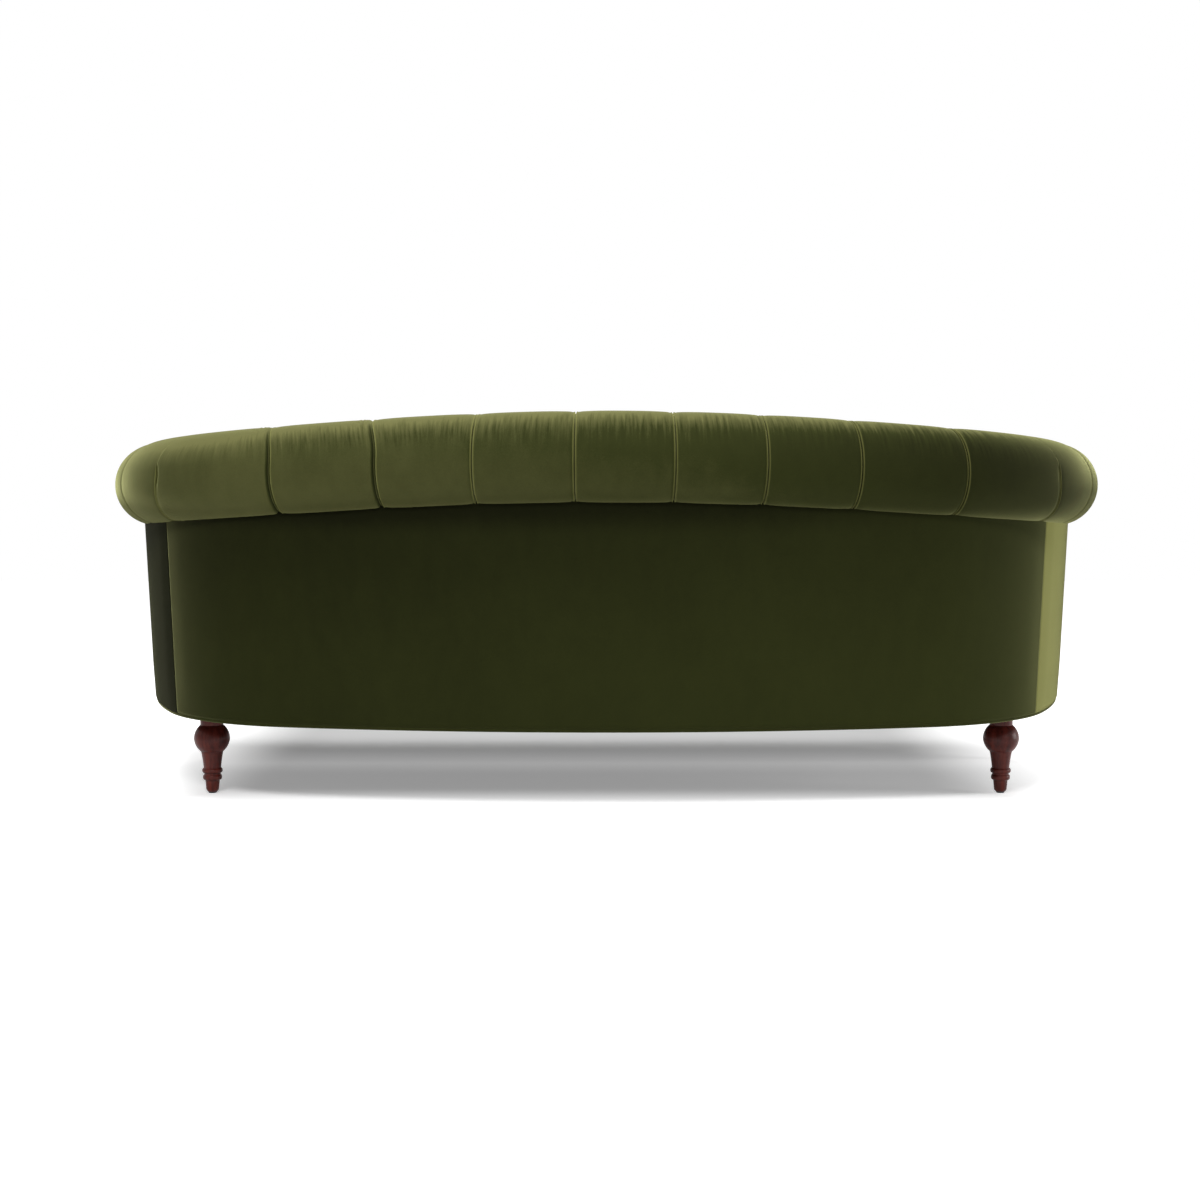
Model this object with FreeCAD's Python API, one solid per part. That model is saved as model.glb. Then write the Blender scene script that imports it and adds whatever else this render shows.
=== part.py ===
"""Curved chesterfield sofa: hardwood frame, webbed seat, buttoned pads, pleated roll, turned legs.

Millimetres. +Z is up, the seat faces -Y, and the origin is on the floor at the middle of the footprint.
Left and right are as seen from the front, so left is -X.
Most pieces follow one plan line, the outside of the upholstery at the base, which runs from the left arm
round the back to the right arm. A place on it is its distance from the middle of the back, positive to the
right, and a section is drawn across it in two values: the offset outwards from that line, and the height.
"""
import FreeCAD, Part
import math
import os

Vector = FreeCAD.Vector
up = Vector(0, 0, 1)
forward = Vector(0, -1, 0)

# Plan line: one arc across the back, then a corner and an arm arc on each side, all tangent
back_radius = 2640.0
back_half_angle = 14.0
corner_radius = 390.0
corner_angle = 51.7
arm_radius = 1315.0

# Heights
rail_underside = 168.0
rail_height = 128.0
deck_thickness = 22.0
roll_centre_height = 694.0

# Outside walls lean out, and the top line falls from the middle of the back to the arms
wall_lean = 2.45
arch_drop = 62.0
arch_run = 1398.0

# Roll
roll_radius = 88.0
arm_roll_radius = 84.5
roll_centre_offset = -2.5
roll_shoulder_angle = 150.0
roll_shoulder_offset = -119.0
roll_seat_drop = 60.0
pleat_depth = 4.5
pleat_half_width = 9.0
back_pleats = (-878.0, -666.0, -463.0, -287.0, -118.0, 58.0, 233.0, 424.0, 628.0, 868.0)
arm_pleat_steps = (205.0, 190.0, 165.0)
corner_station = 65.0
back_station = 160.0

# Layers of the wall, from the outside in
panel_thickness = 5.0
rail_thickness = 44.0
liner_thickness = 1.2
layer_gap = 0.5
seam_distance = 942.0
seam_gap = 1.0

# Inside pads
pad_foot_offset = -160.0
pad_belly_offset = -178.0
pad_waist_offset = -172.0
pad_waist_share = 0.46
pad_chest_fullness = 4.0
pad_split = 924.0
tuft_radius = 40.0
tuft_depth = 13.0
upper_tuft_drop = 42.0
lower_tuft_drop = 112.0
button_radius = 11.0
button_height = 6.0
button_clearance = 0.3

# Frame pieces
rail_joint = 822.0
post_width = 38.0
post_thickness = 30.0
back_posts = (-790.0, -450.0, -150.0, 150.0, 450.0, 790.0)
arm_posts = (930.0, 1230.0)
front_post_inset = 27.0
joint_gap = 0.2
top_rail_height = 40.0
front_rail_thickness = 32.0
stretcher_height = 60.0
stretcher_thickness = 28.0
stretcher_lift = 24.0
stretcher_places = (-300.0, 300.0)
board_thickness = 12.0
board_margin = 10.0
facing_thickness = 10.0
facing_margin = 4.0
facing_edge = 4.0
facing_foot_offset = -150.0

# Seat
webbing_width = 60.0
webbing_thickness = 1.6
webbing_pitch = 150.0
webbing_columns = 12
webbing_rows = 5
webbing_hold = 12.0
webbing_front_row = 75.0
border_thickness = 14.0
border_crown = 6.0
cushion_thickness = 128.0
cushion_crown = 22.0
cushion_draw = 6.0
cushion_half_width = 284.0
cushion_gap = 3.0
cushion_clearance = 5.0
cushion_setback = 3.0

# Base
piping_radius = 4.0
dust_cover_thickness = 1.0
dust_cover_inset = 8.0
block_length = 96.0
block_height = 46.0
dowel_radius = 5.0
dowel_length = 50.0
dowel_inset = 14.0

# Legs
rear_leg_distance = 960.0
rear_leg_inset = 75.0
front_leg_inset = 106.0
front_leg_setback = 67.0
leg_collar_radius = 23.5
leg_collar_foot = 142.0
leg_bulb_radius = 37.0
leg_bulb_height = 113.5
leg_neck_radius = 24.6
leg_neck_height = 88.0
leg_groove_depth = 1.6
leg_groove_width = 3.0
leg_shaft_top_radius = 22.4
leg_shaft_foot_radius = 17.8
leg_shaft_foot_height = 52.5
leg_ring_radius = 21.2
leg_ring_height = 11.0
leg_lower_ring_radius = 19.6
leg_ring_seat_radius = 17.0
leg_toe_radius = 14.8
leg_toe_top = 27.5
leg_toe_foot_radius = 13.2
leg_toe_foot_height = 9.0
leg_sole_radius = 9.6
glide_height = 3.0
glide_radius = 9.0
glide_pin_radius = 1.5
glide_pin_length = 15.0
bolt_radius = 5.0
bolt_in_leg = 34.0
tee_nut_radius = 6.5
tee_nut_length = 12.0
tee_nut_flange_radius = 13.0
tee_nut_flange = 2.0

# Plan line
arm_angle = 90.0 - back_half_angle - corner_angle
back_run = back_radius * math.radians(back_half_angle)
corner_run = corner_radius * math.radians(corner_angle)
arm_run = arm_radius * math.radians(arm_angle)
corner_end = back_run + corner_run
line_end = corner_end + arm_run


def along(angle):
    """Unit vector in plan, for an angle in degrees from +X."""
    return Vector(math.cos(math.radians(angle)), math.sin(math.radians(angle)), 0)


def plan_arcs(back_y):
    """Start distance, end distance, centre, radius and start angle of each arc, from the left arm round."""
    back_centre = Vector(0, back_y - back_radius, 0)
    first = 90.0 - back_half_angle
    second = first - corner_angle
    corner_centre = back_centre + along(first) * (back_radius - corner_radius)
    arm_centre = corner_centre + along(second) * (corner_radius - arm_radius)
    left_corner = Vector(-corner_centre.x, corner_centre.y, 0)
    left_arm = Vector(-arm_centre.x, arm_centre.y, 0)
    return [
        (-line_end, -corner_end, left_arm, arm_radius, 180.0),
        (-corner_end, -back_run, left_corner, corner_radius, 180.0 - second),
        (-back_run, back_run, back_centre, back_radius, 180.0 - first),
        (back_run, corner_end, corner_centre, corner_radius, first),
        (corner_end, line_end, arm_centre, arm_radius, second),
    ]


# The origin is the middle of the footprint: the roll reaches furthest back, the facings furthest forward
line_depth = -plan_arcs(0)[4][2].y
front_reach = line_depth + board_thickness + facing_thickness
back_reach = roll_centre_offset + roll_radius
back_y = (front_reach - back_reach) / 2
arcs = plan_arcs(back_y)
front_y = back_y - line_depth
half_width = arcs[4][2].x + arm_radius

rail_top = rail_underside + rail_height
webbing_top = rail_top + 2 * webbing_thickness + layer_gap
deck_underside = webbing_top + layer_gap
deck_top = deck_underside + deck_thickness
cushion_underside = deck_top + layer_gap
piping_height = rail_underside - dust_cover_thickness - layer_gap + piping_radius
panel_foot = piping_height + piping_radius + layer_gap


def arc_at(distance):
    """The arc that holds a distance along the plan line."""
    for arc in arcs:
        if distance <= arc[1]:
            return arc
    return arcs[-1]


def outwards(distance):
    """Unit vector across the plan line, away from the seat."""
    start, _, _, radius, start_angle = arc_at(distance)
    return along(start_angle - math.degrees((distance - start) / radius))


def place(distance, offset, height):
    """The point at a distance along the plan line, an offset outwards and a height."""
    _, _, centre, radius, _ = arc_at(distance)
    return centre + outwards(distance) * (radius + offset) + up * height


def lean(height):
    """How far the walls have leaned out at a height."""
    return (height - rail_underside) * math.tan(math.radians(wall_lean))


def fall(distance):
    """How far the top line has fallen at a distance from the middle of the back."""
    share = min(abs(distance), arch_run) / arch_run
    return arch_drop * (1 - math.cos(math.pi * share)) / 2


def roll_centre(distance):
    return roll_centre_height - fall(distance)


def roll_radius_at(distance):
    share = min(abs(distance), arch_run) / arch_run
    return roll_radius + (arm_roll_radius - roll_radius) * share


def roll_seat(distance):
    """Height of the flat that the roll rests on."""
    return roll_centre(distance) - roll_seat_drop


def rail_outside(height):
    return lean(height) - panel_thickness - layer_gap


def rail_inside(height):
    return rail_outside(height) - rail_thickness


def post_inside(height):
    return rail_outside(height) - post_thickness


def liner_outside(height):
    return post_inside(height) - layer_gap


def liner_inside(height):
    return liner_outside(height) - liner_thickness


def outline(distance, start, moves):
    """Closed wire across the plan line. Each move is (end,) for a line or (middle, end) for an arc."""
    here = place(distance, *start)
    edges = []
    for move in moves:
        there = place(distance, *move[-1])
        if len(move) == 1:
            edges.append(Part.LineSegment(here, there).toShape())
        else:
            edges.append(Part.Arc(here, place(distance, *move[0]), there).toShape())
        here = there
    return Part.Wire(edges)


def wall_outline(distance, inside, outside, low, high):
    """Section of a layer of the wall, between two surfaces given as offsets at a height."""
    foot = (inside(low), low)
    return outline(distance, foot, [
        ((outside(low), low),),
        ((outside(high), high),),
        ((inside(high), high),),
        (foot,),
    ])


def swept(section, start, end):
    """A level piece: its section is turned about the centre of each arc in turn."""
    pieces = []
    for arc_start, arc_end, centre, radius, _ in arcs:
        low = max(start, arc_start)
        high = min(end, arc_end)
        if high > low:
            face = Part.Face(section(low))
            pieces.append(face.revolve(centre, up, -math.degrees((high - low) / radius)))
    if len(pieces) == 1:
        return pieces[0]
    return pieces[0].fuse(pieces[1:]).removeSplitter()


def stations(start, end):
    """Distances from start to end, closer round the corners than along the back."""
    at_corner = back_run < abs(start + end) / 2 < corner_end
    step = corner_station if at_corner else back_station
    count = max(2, math.ceil((end - start) / step))
    return [start + (end - start) * i / count for i in range(count + 1)]


def lofted(section, start, end):
    """A piece whose section changes along the plan line, in one loft for each arc it covers."""
    pieces = []
    for arc_start, arc_end, _, _, _ in arcs:
        low = max(start, arc_start)
        high = min(end, arc_end)
        if high > low:
            wires = [section(d) for d in stations(low, high)]
            pieces.append(Part.makeLoft(wires, True, False))
    if len(pieces) == 1:
        return pieces[0]
    return pieces[0].fuse(pieces[1:])


def level_area(offset, front, low, high):
    """Solid slab of everything inside a line offset from the plan line, closed across the front."""
    edges = []
    for start, end, _, _, _ in arcs:
        points = [place(d, offset, low) for d in (start, (start + end) / 2, end)]
        edges.append(Part.Arc(*points).toShape())
    left = place(-line_end, offset, low)
    right = place(line_end, offset, low)
    corners = [right, Vector(right.x, front, low), Vector(left.x, front, low), left]
    for here, there in zip(corners, corners[1:]):
        if here.distanceToPoint(there) > 0.001:
            edges.append(Part.LineSegment(here, there).toShape())
    return Part.Face(Part.Wire(edges)).extrude(up * (high - low))


def block(low, high):
    """Upright box between two corners."""
    size = high - low
    return Part.makeBox(size.x, size.y, size.z, low)


def mirrored(shape):
    return shape.mirror(Vector(0, 0, 0), Vector(1, 0, 0))


# Roll
def circle_point(distance, radius, angle):
    """A point on the roll's outline, angle 0 pointing outwards and 90 up."""
    turn = math.radians(angle)
    return (roll_centre_offset + radius * math.cos(turn), roll_centre(distance) + radius * math.sin(turn))


def arc_middle(start, direction, end):
    """Middle point of the arc from start to end that leaves start along a direction in degrees."""
    chord = (end[0] - start[0], end[1] - start[1])
    length = math.hypot(*chord)
    bend = math.radians(direction) - math.atan2(chord[1], chord[0])
    bend = math.atan2(math.sin(bend), math.cos(bend))
    rise = math.tan(bend / 2) * length / 2
    return (
        (start[0] + end[0]) / 2 - chord[1] / length * rise,
        (start[1] + end[1]) / 2 + chord[0] / length * rise,
    )


def roll_over(distance, skirt_offset, inset):
    """Outline of the roll from its lower lip, over the top, and down to its seat on the inside."""
    radius = roll_radius_at(distance) - inset
    lip_angle = -math.degrees(math.acos((skirt_offset - roll_centre_offset) / radius))
    brow_angle = (lip_angle + roll_shoulder_angle) / 2
    lip, low_brow, brow, crown, shoulder = [
        circle_point(distance, radius, angle)
        for angle in (
            lip_angle,
            (lip_angle + brow_angle) / 2,
            brow_angle,
            (brow_angle + roll_shoulder_angle) / 2,
            roll_shoulder_angle,
        )
    ]
    seat = (roll_shoulder_offset + inset, roll_seat(distance))
    return lip, [(low_brow, brow), (crown, shoulder), (arc_middle(shoulder, roll_shoulder_angle + 90, seat), seat)]


def roll_section(distance, inset=0.0):
    seat = roll_seat(distance)
    lip_offset = lean(seat) + layer_gap
    lip, over = roll_over(distance, lip_offset, inset)
    return outline(distance, lip, over + [((lip_offset, seat),), (lip,)])


def roll_panel(start, end):
    """The plump stretch between two pleats."""
    return lofted(roll_section, start, end)


def pleat(distance):
    """The fold that pulls the roll in, as wide as it is on both sides of its line."""
    wires = [
        roll_section(distance - pleat_half_width),
        roll_section(distance, pleat_depth),
        roll_section(distance + pleat_half_width),
    ]
    return Part.makeLoft(wires, True, True)


def pleated_roll(start, folds, end):
    """Roll with a pleat at each fold, ending flat at start and end."""
    pieces = [pleat(fold) for fold in folds]
    edges = [start]
    for fold in folds:
        edges += [fold - pleat_half_width, fold + pleat_half_width]
    edges.append(end)
    pieces += [roll_panel(edges[i], edges[i + 1]) for i in range(0, len(edges), 2)]
    return pieces[0].fuse(pieces[1:])


# Inside pads
def pad_face(distance):
    """Foot, belly, waist, chest and top of a pad's face towards the seat."""
    foot = (pad_foot_offset, cushion_underside)
    top = (roll_shoulder_offset, roll_seat(distance) - layer_gap)
    waist = (pad_waist_offset, foot[1] + pad_waist_share * (top[1] - foot[1]))
    belly = (pad_belly_offset, (foot[1] + waist[1]) / 2)
    chest = ((waist[0] + top[0]) / 2 - pad_chest_fullness, (waist[1] + top[1]) / 2)
    return foot, belly, waist, chest, top


def pad_back(height):
    return liner_inside(height) - layer_gap


def pad_section(distance):
    foot, belly, waist, chest, top = pad_face(distance)
    back = (pad_back(top[1]), top[1])
    heel = (pad_back(foot[1]), foot[1])
    return outline(distance, foot, [(belly, waist), (chest, top), (back,), (heel,), (foot,)])


def tuft(distance, drop):
    """Point on the pad's upper face at a drop below its top, and the direction straight out of it."""
    _, _, waist, chest, top = pad_face(distance)
    circle = Part.Arc(*[Vector(x, y, 0) for x, y in (waist, chest, top)]).toShape().Curve
    height = top[1] - drop
    rise = height - circle.Center.y
    run = math.sqrt(circle.Radius ** 2 - rise ** 2)
    offset = circle.Center.x - run
    out = outwards(distance) * -run + up * rise
    return place(distance, offset, height), out.normalize()


def all_tufts():
    """Upper buttons stand where the pleats start, and lower ones halfway between."""
    right = list(back_pleats)
    left = list(back_pleats)
    for step in arm_pleat_steps:
        right.append(right[-1] + step)
        left.insert(0, left[0] - step)
    folds = left[:len(arm_pleat_steps)] + right
    ends = [-line_end] + folds + [line_end]
    lower = [(a + b) / 2 for a, b in zip(ends, ends[1:])]
    return folds, [(d, upper_tuft_drop) for d in folds] + [(d, lower_tuft_drop) for d in lower]


folds, tufts = all_tufts()
tuft_ball = (tuft_radius ** 2 + tuft_depth ** 2) / (2 * tuft_depth)


def inside_pad(start, end):
    """Pad between the deck and the roll, pulled in at each of its tufts."""
    solid = lofted(pad_section, start, end)
    hollows = []
    for distance, drop in tufts:
        if start - tuft_radius < distance < end + tuft_radius:
            point, out = tuft(distance, drop)
            hollows.append(Part.makeSphere(tuft_ball, point + out * (tuft_ball - tuft_depth)))
    return solid.cut(hollows)


def buttons(start, end):
    """Covered buttons, each at the bottom of its tuft."""
    rim_rise = tuft_ball - math.sqrt(tuft_ball ** 2 - button_radius ** 2)
    dome = (button_radius ** 2 + button_height ** 2) / (2 * button_height)
    rim_angle = math.degrees(math.acos(button_radius / dome))
    knob = Part.makeSphere(dome, up * (button_height - dome), up, rim_angle, 90, 360)
    solids = []
    for distance, drop in tufts:
        if start <= distance <= end:
            point, out = tuft(distance, drop)
            button = knob.copy()
            seat = point - out * (tuft_depth - rim_rise - button_clearance)
            button.Placement = FreeCAD.Placement(seat, FreeCAD.Rotation(up, out))
            solids.append(button)
    return Part.makeCompound(solids)


# Frame
def base_rail(start, end):
    return swept(lambda d: wall_outline(d, rail_inside, rail_outside, rail_underside, rail_top), start, end)


def top_rail(start, end):
    def section(distance):
        top = roll_seat(distance) - layer_gap
        return wall_outline(distance, post_inside, rail_outside, top - top_rail_height, top)

    return lofted(section, start, end)


def post(distance):
    ends = (distance - post_width / 2, distance + post_width / 2)
    top = min(roll_seat(d) for d in ends) - layer_gap - top_rail_height - joint_gap
    return swept(lambda d: wall_outline(d, post_inside, rail_outside, rail_top, top), *ends)


def liner(start, end):
    def section(distance):
        top = roll_seat(distance) - layer_gap
        foot = deck_top + layer_gap
        return wall_outline(distance, liner_inside, liner_outside, foot, top)

    return lofted(section, start, end)


def outside_panel(start, end):
    def section(distance):
        top = roll_seat(distance) - layer_gap
        return wall_outline(distance, lambda h: lean(h) - panel_thickness, lean, panel_foot, top)

    return lofted(section, start, end)


def inside_rails(height):
    """Everything the base rails stand round, up to their top, as they are at a height."""
    return level_area(rail_inside(height) - joint_gap, front_y, rail_underside, rail_top)


def front_rail():
    low = Vector(-half_width, front_y, rail_underside)
    high = Vector(half_width, front_y + front_rail_thickness, rail_top)
    return block(low, high).common(inside_rails(rail_underside))


def stretchers():
    area = inside_rails(rail_underside + stretcher_lift)
    bars = []
    low_z = rail_underside + stretcher_lift
    for x in stretcher_places:
        low = Vector(x - stretcher_thickness / 2, front_y + front_rail_thickness, low_z)
        high = Vector(x + stretcher_thickness / 2, back_y, low_z + stretcher_height)
        bars.append(block(low, high).common(area))
    return Part.makeCompound(bars)


def front_outline(margin):
    """Face of an arm's front, from the wall's foot over the roll and down the pad, in by a margin."""
    distance = line_end
    seat = (roll_shoulder_offset + margin, roll_seat(distance))
    neck_offset = lean(roll_seat(distance) - roll_seat_drop / 2) - margin
    neck, over = roll_over(distance, neck_offset, margin)
    foot = (-margin, panel_foot)
    inner_foot = (facing_foot_offset + margin, panel_foot)
    pad = (pad_waist_offset + margin, cushion_underside + cushion_thickness / 2)
    return outline(distance, foot, [(neck,)] + over + [
        (arc_middle(seat, 240, pad), pad),
        (arc_middle(pad, 268, inner_foot), inner_foot),
        (foot,),
    ])


def arm_board():
    return Part.Face(front_outline(board_margin)).extrude(forward * board_thickness)


def arm_facing():
    """Padded panel on the board, thinner round its edge."""
    solid = Part.Face(front_outline(facing_margin)).extrude(forward * facing_thickness)
    solid.translate(forward * board_thickness)
    front = front_y - board_thickness - facing_thickness
    rim = [e for e in solid.Edges if e.BoundBox.YMax < front + 0.01]
    return solid.makeChamfer(facing_edge, rim)


# Seat
def webbing_columns_layer():
    area = level_area(rail_inside(rail_top) + webbing_hold, front_y, rail_top, rail_top + webbing_thickness)
    strips = []
    for i in range(webbing_columns):
        x = (i - (webbing_columns - 1) / 2) * webbing_pitch
        low = Vector(x - webbing_width / 2, front_y + front_rail_thickness - webbing_hold, rail_top)
        high = Vector(x + webbing_width / 2, back_y, rail_top + webbing_thickness)
        strips.append(block(low, high).common(area))
    return Part.makeCompound(strips)


def webbing_rows_layer():
    low_z = rail_top + webbing_thickness + layer_gap
    area = level_area(rail_inside(rail_top) + webbing_hold, front_y, low_z, low_z + webbing_thickness)
    strips = []
    for i in range(webbing_rows):
        y = front_y + webbing_front_row + i * webbing_pitch
        low = Vector(-half_width, y - webbing_width / 2, low_z)
        high = Vector(half_width, y + webbing_width / 2, low_z + webbing_thickness)
        strips.append(block(low, high).common(area))
    return Part.makeCompound(strips)


def deck_pad():
    return level_area(liner_outside(deck_underside), front_y, deck_underside, deck_top)


def front_border():
    """Upholstered face of the front rail, between the two arm fronts."""
    half = half_width + facing_foot_offset - layer_gap
    front = front_y - border_thickness
    corners = [
        Vector(-half, front_y, panel_foot),
        Vector(-half, front, panel_foot),
        Vector(-half, front - border_crown, (panel_foot + deck_top) / 2),
        Vector(-half, front, deck_top),
        Vector(-half, front_y, deck_top),
    ]
    edges = [
        Part.LineSegment(corners[0], corners[1]).toShape(),
        Part.Arc(corners[1], corners[2], corners[3]).toShape(),
        Part.LineSegment(corners[3], corners[4]).toShape(),
        Part.LineSegment(corners[4], corners[0]).toShape(),
    ]
    border = Part.Face(Part.Wire(edges)).extrude(Vector(2 * half, 0, 0))
    arm_front = Part.Face(front_outline(facing_margin - layer_gap))
    arm_front = arm_front.extrude(forward * (board_thickness + facing_thickness))
    return border.cut([arm_front, mirrored(arm_front)])


def drawn_in(here, there, amount, centre):
    """Arc between two corners of a cushion, pulled in towards its centre."""
    middle = (here + there) / 2
    inwards = (there - here).cross(up).normalize()
    if inwards.dot(centre - middle) < 0:
        inwards = inwards * -1
    return Part.Arc(here, middle + inwards * amount, there).toShape()


def cushion(outer_edges, corners, centre):
    """Crowned cushion from its plan outline: a run along the pads, then corners joined by drawn-in sides."""
    edges = list(outer_edges)
    for here, there in zip(corners, corners[1:]):
        edges.append(drawn_in(here, there, cushion_draw, centre))
    solid = Part.Face(Part.Wire(edges)).extrude(up * (cushion_thickness + cushion_crown))
    reach = max(centre.distanceToPoint(v.Point) for v in solid.Vertexes if v.Z < cushion_underside + 1)
    dome = (reach ** 2 + cushion_crown ** 2) / (2 * cushion_crown)
    top = cushion_underside + cushion_thickness + cushion_crown
    return solid.common(Part.makeSphere(dome, Vector(centre.x, centre.y, top - dome)))


def pad_line(start, end):
    """Arc edges along the cushions' side of the pads, from start to end."""
    offset = pad_belly_offset - cushion_clearance
    edges = []
    for arc_start, arc_end, _, _, _ in arcs:
        low = max(start, arc_start)
        high = min(end, arc_end)
        if high > low:
            points = [place(d, offset, cushion_underside) for d in (low, (low + high) / 2, high)]
            edges.append(Part.Arc(*points).toShape())
    return edges


def distance_at(x):
    """Distance along the back's arc where the line along the pads crosses an x."""
    return back_radius * math.asin(x / (back_radius + pad_belly_offset - cushion_clearance))


def centre_cushion():
    front = front_y + cushion_setback
    edge = distance_at(cushion_half_width)
    run = pad_line(-edge, edge)
    left = place(-edge, pad_belly_offset - cushion_clearance, cushion_underside)
    right = place(edge, pad_belly_offset - cushion_clearance, cushion_underside)
    front_left = Vector(left.x, front, cushion_underside)
    front_right = Vector(right.x, front, cushion_underside)
    centre = Vector(0, (front + left.y) / 2, cushion_underside)
    return cushion(run, [right, front_right, front_left, left], centre)


def side_cushion():
    front = front_y + cushion_setback
    inner_x = cushion_half_width + cushion_gap
    end = line_end - cushion_setback
    run = pad_line(distance_at(inner_x), end)
    inner = place(distance_at(inner_x), pad_belly_offset - cushion_clearance, cushion_underside)
    outer = place(end, pad_belly_offset - cushion_clearance, cushion_underside)
    corners = [outer, Vector(inner_x, front, cushion_underside), inner]
    return cushion(run, corners, Vector((inner_x + outer.x) / 2, (front + inner.y) / 2, cushion_underside))


# Base
def base_piping():
    """Cord round the foot of the covers, with its two front corners."""
    offset = rail_outside(piping_height) + layer_gap + piping_radius
    round_back = None
    for start, end, centre, radius, _ in arcs:
        ring = Part.Circle(place(start, offset, piping_height), outwards(start).cross(up), piping_radius)
        face = Part.Face(Part.Wire([ring.toShape()]))
        piece = face.revolve(centre, up, -math.degrees((end - start) / radius))
        round_back = piece if round_back is None else round_back.fuse(piece)
    reach = board_thickness + facing_thickness - piping_radius
    corner = place(line_end, offset, piping_height) + forward * reach
    side = Part.makeCylinder(piping_radius, reach, corner, forward * -1)
    ball = Part.makeSphere(piping_radius, corner)
    across = Part.makeCylinder(piping_radius, 2 * corner.x, corner, Vector(-1, 0, 0))
    return round_back.fuse([side, ball, across, mirrored(side), mirrored(ball)]).removeSplitter()


def leg_places():
    rear = place(rear_leg_distance, -rear_leg_inset, 0)
    front = Vector(half_width - front_leg_inset, front_y + front_leg_setback, 0)
    return {
        "rear_left": Vector(-rear.x, rear.y, 0),
        "rear_right": rear,
        "front_left": Vector(-front.x, front.y, 0),
        "front_right": front,
    }


legs = leg_places()


def dust_cover():
    low = rail_underside - dust_cover_thickness
    sheet = level_area(-dust_cover_inset, front_y, low, rail_underside)
    holes = [Part.makeCylinder(leg_collar_radius + layer_gap, rail_underside, p) for p in legs.values()]
    return sheet.cut(holes)


def rear_block():
    inner = rail_inside(rail_underside) - joint_gap
    foot = (inner - block_length, rail_underside)
    top = rail_underside + block_height

    def section(distance):
        return outline(distance, foot, [
            ((inner, rail_underside),),
            ((inner, top),),
            ((inner - block_length, top),),
            (foot,),
        ])

    return swept(section, rear_leg_distance - block_length / 2, rear_leg_distance + block_length / 2)


def front_block():
    outer = half_width + rail_inside(rail_underside)
    low = Vector(outer - block_length, front_y + front_rail_thickness, rail_underside)
    high = Vector(outer, low.y + block_length, rail_underside + block_height)
    return block(low, high).common(inside_rails(rail_underside))


def block_dowels():
    """Two dowels from each corner block into the side rail."""
    height = rail_underside + block_height / 2
    inner = rail_inside(rail_underside) - dowel_length / 2
    front_block_middle = front_y + front_rail_thickness + block_length / 2
    solids = []
    for step in (-1, 1):
        reach = step * (block_length / 2 - dowel_inset)
        distance = rear_leg_distance + reach
        starts = {
            "rear": (place(distance, inner, height), outwards(distance)),
            "front": (Vector(half_width + inner, front_block_middle + reach, height), along(0)),
        }
        for start, direction in starts.values():
            dowel = Part.makeCylinder(dowel_radius, dowel_length, start, direction)
            solids += [dowel, mirrored(dowel)]
    return solids


# Legs
def revolved(start, moves):
    """Solid turned about the vertical axis from (radius, height) points."""
    here = Vector(start[0], 0, start[1])
    edges = []
    for move in moves:
        there = Vector(move[-1][0], 0, move[-1][1])
        if len(move) == 1:
            edges.append(Part.LineSegment(here, there).toShape())
        else:
            edges.append(Part.Arc(here, Vector(move[0][0], 0, move[0][1]), there).toShape())
        here = there
    return Part.Face(Part.Wire(edges)).revolve(Vector(0, 0, 0), up, 360)


def bulge(start, end, amount):
    """Middle of an arc between two points, pushed outwards from the axis by an amount."""
    length = math.hypot(end[0] - start[0], end[1] - start[1])
    return (
        (start[0] + end[0]) / 2 + (end[1] - start[1]) / length * amount,
        (start[1] + end[1]) / 2 - (end[0] - start[0]) / length * amount,
    )


def turned_leg():
    """Vase turning over a groove, a tapered shaft, two rings and a toe, bored for its bolt and its glide."""
    sole = (leg_sole_radius, glide_height)
    toe_foot = (leg_toe_foot_radius, leg_toe_foot_height)
    lower_ring_top = leg_toe_top + leg_ring_height
    ring_foot = leg_shaft_foot_height - leg_ring_height
    groove_top = (leg_neck_radius - leg_groove_depth, leg_neck_height)
    groove_foot = (leg_shaft_top_radius, leg_neck_height - leg_groove_width)
    bulb = (leg_bulb_radius, leg_bulb_height)
    collar = (leg_collar_radius, leg_collar_foot)
    leg = revolved((0, glide_height), [
        (sole,),
        (bulge(sole, toe_foot, 0.9), toe_foot),
        ((leg_toe_radius, leg_toe_top),),
        ((leg_ring_seat_radius, leg_toe_top),),
        ((leg_lower_ring_radius, leg_toe_top + leg_ring_height / 2), (leg_ring_seat_radius, lower_ring_top)),
        ((leg_ring_seat_radius, ring_foot),),
        ((leg_ring_radius, ring_foot + leg_ring_height / 2), (leg_shaft_foot_radius, leg_shaft_foot_height)),
        (groove_foot,),
        (groove_top,),
        ((leg_neck_radius, leg_neck_height),),
        (bulge((leg_neck_radius, leg_neck_height), bulb, 2.6), bulb),
        (bulge(bulb, collar, 3.5), collar),
        ((leg_collar_radius, rail_underside),),
        ((0, rail_underside),),
        ((0, glide_height),),
    ])
    bolt_hole = Part.makeCylinder(bolt_radius, bolt_in_leg, Vector(0, 0, rail_underside - bolt_in_leg))
    pin_hole = Part.makeCylinder(glide_pin_radius, glide_pin_length, Vector(0, 0, glide_height))
    return leg.cut([bolt_hole, pin_hole])


def glide():
    """Nail-on glide: a domed disc with a flat foot and a pin up into the leg."""
    return revolved((0, 0), [
        ((glide_radius - 1, 0),),
        (bulge((glide_radius - 1, 0), (glide_radius, glide_height), 0.3), (glide_radius, glide_height)),
        ((glide_pin_radius, glide_height),),
        ((glide_pin_radius, glide_height + glide_pin_length),),
        ((0, glide_height + glide_pin_length),),
        ((0, 0),),
    ])


def bolt():
    """Hanger bolt, from its wood screw in the leg to the top of the tee nut."""
    low = rail_underside - bolt_in_leg
    return Part.makeCylinder(bolt_radius, bolt_in_leg + block_height, Vector(0, 0, low))


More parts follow.
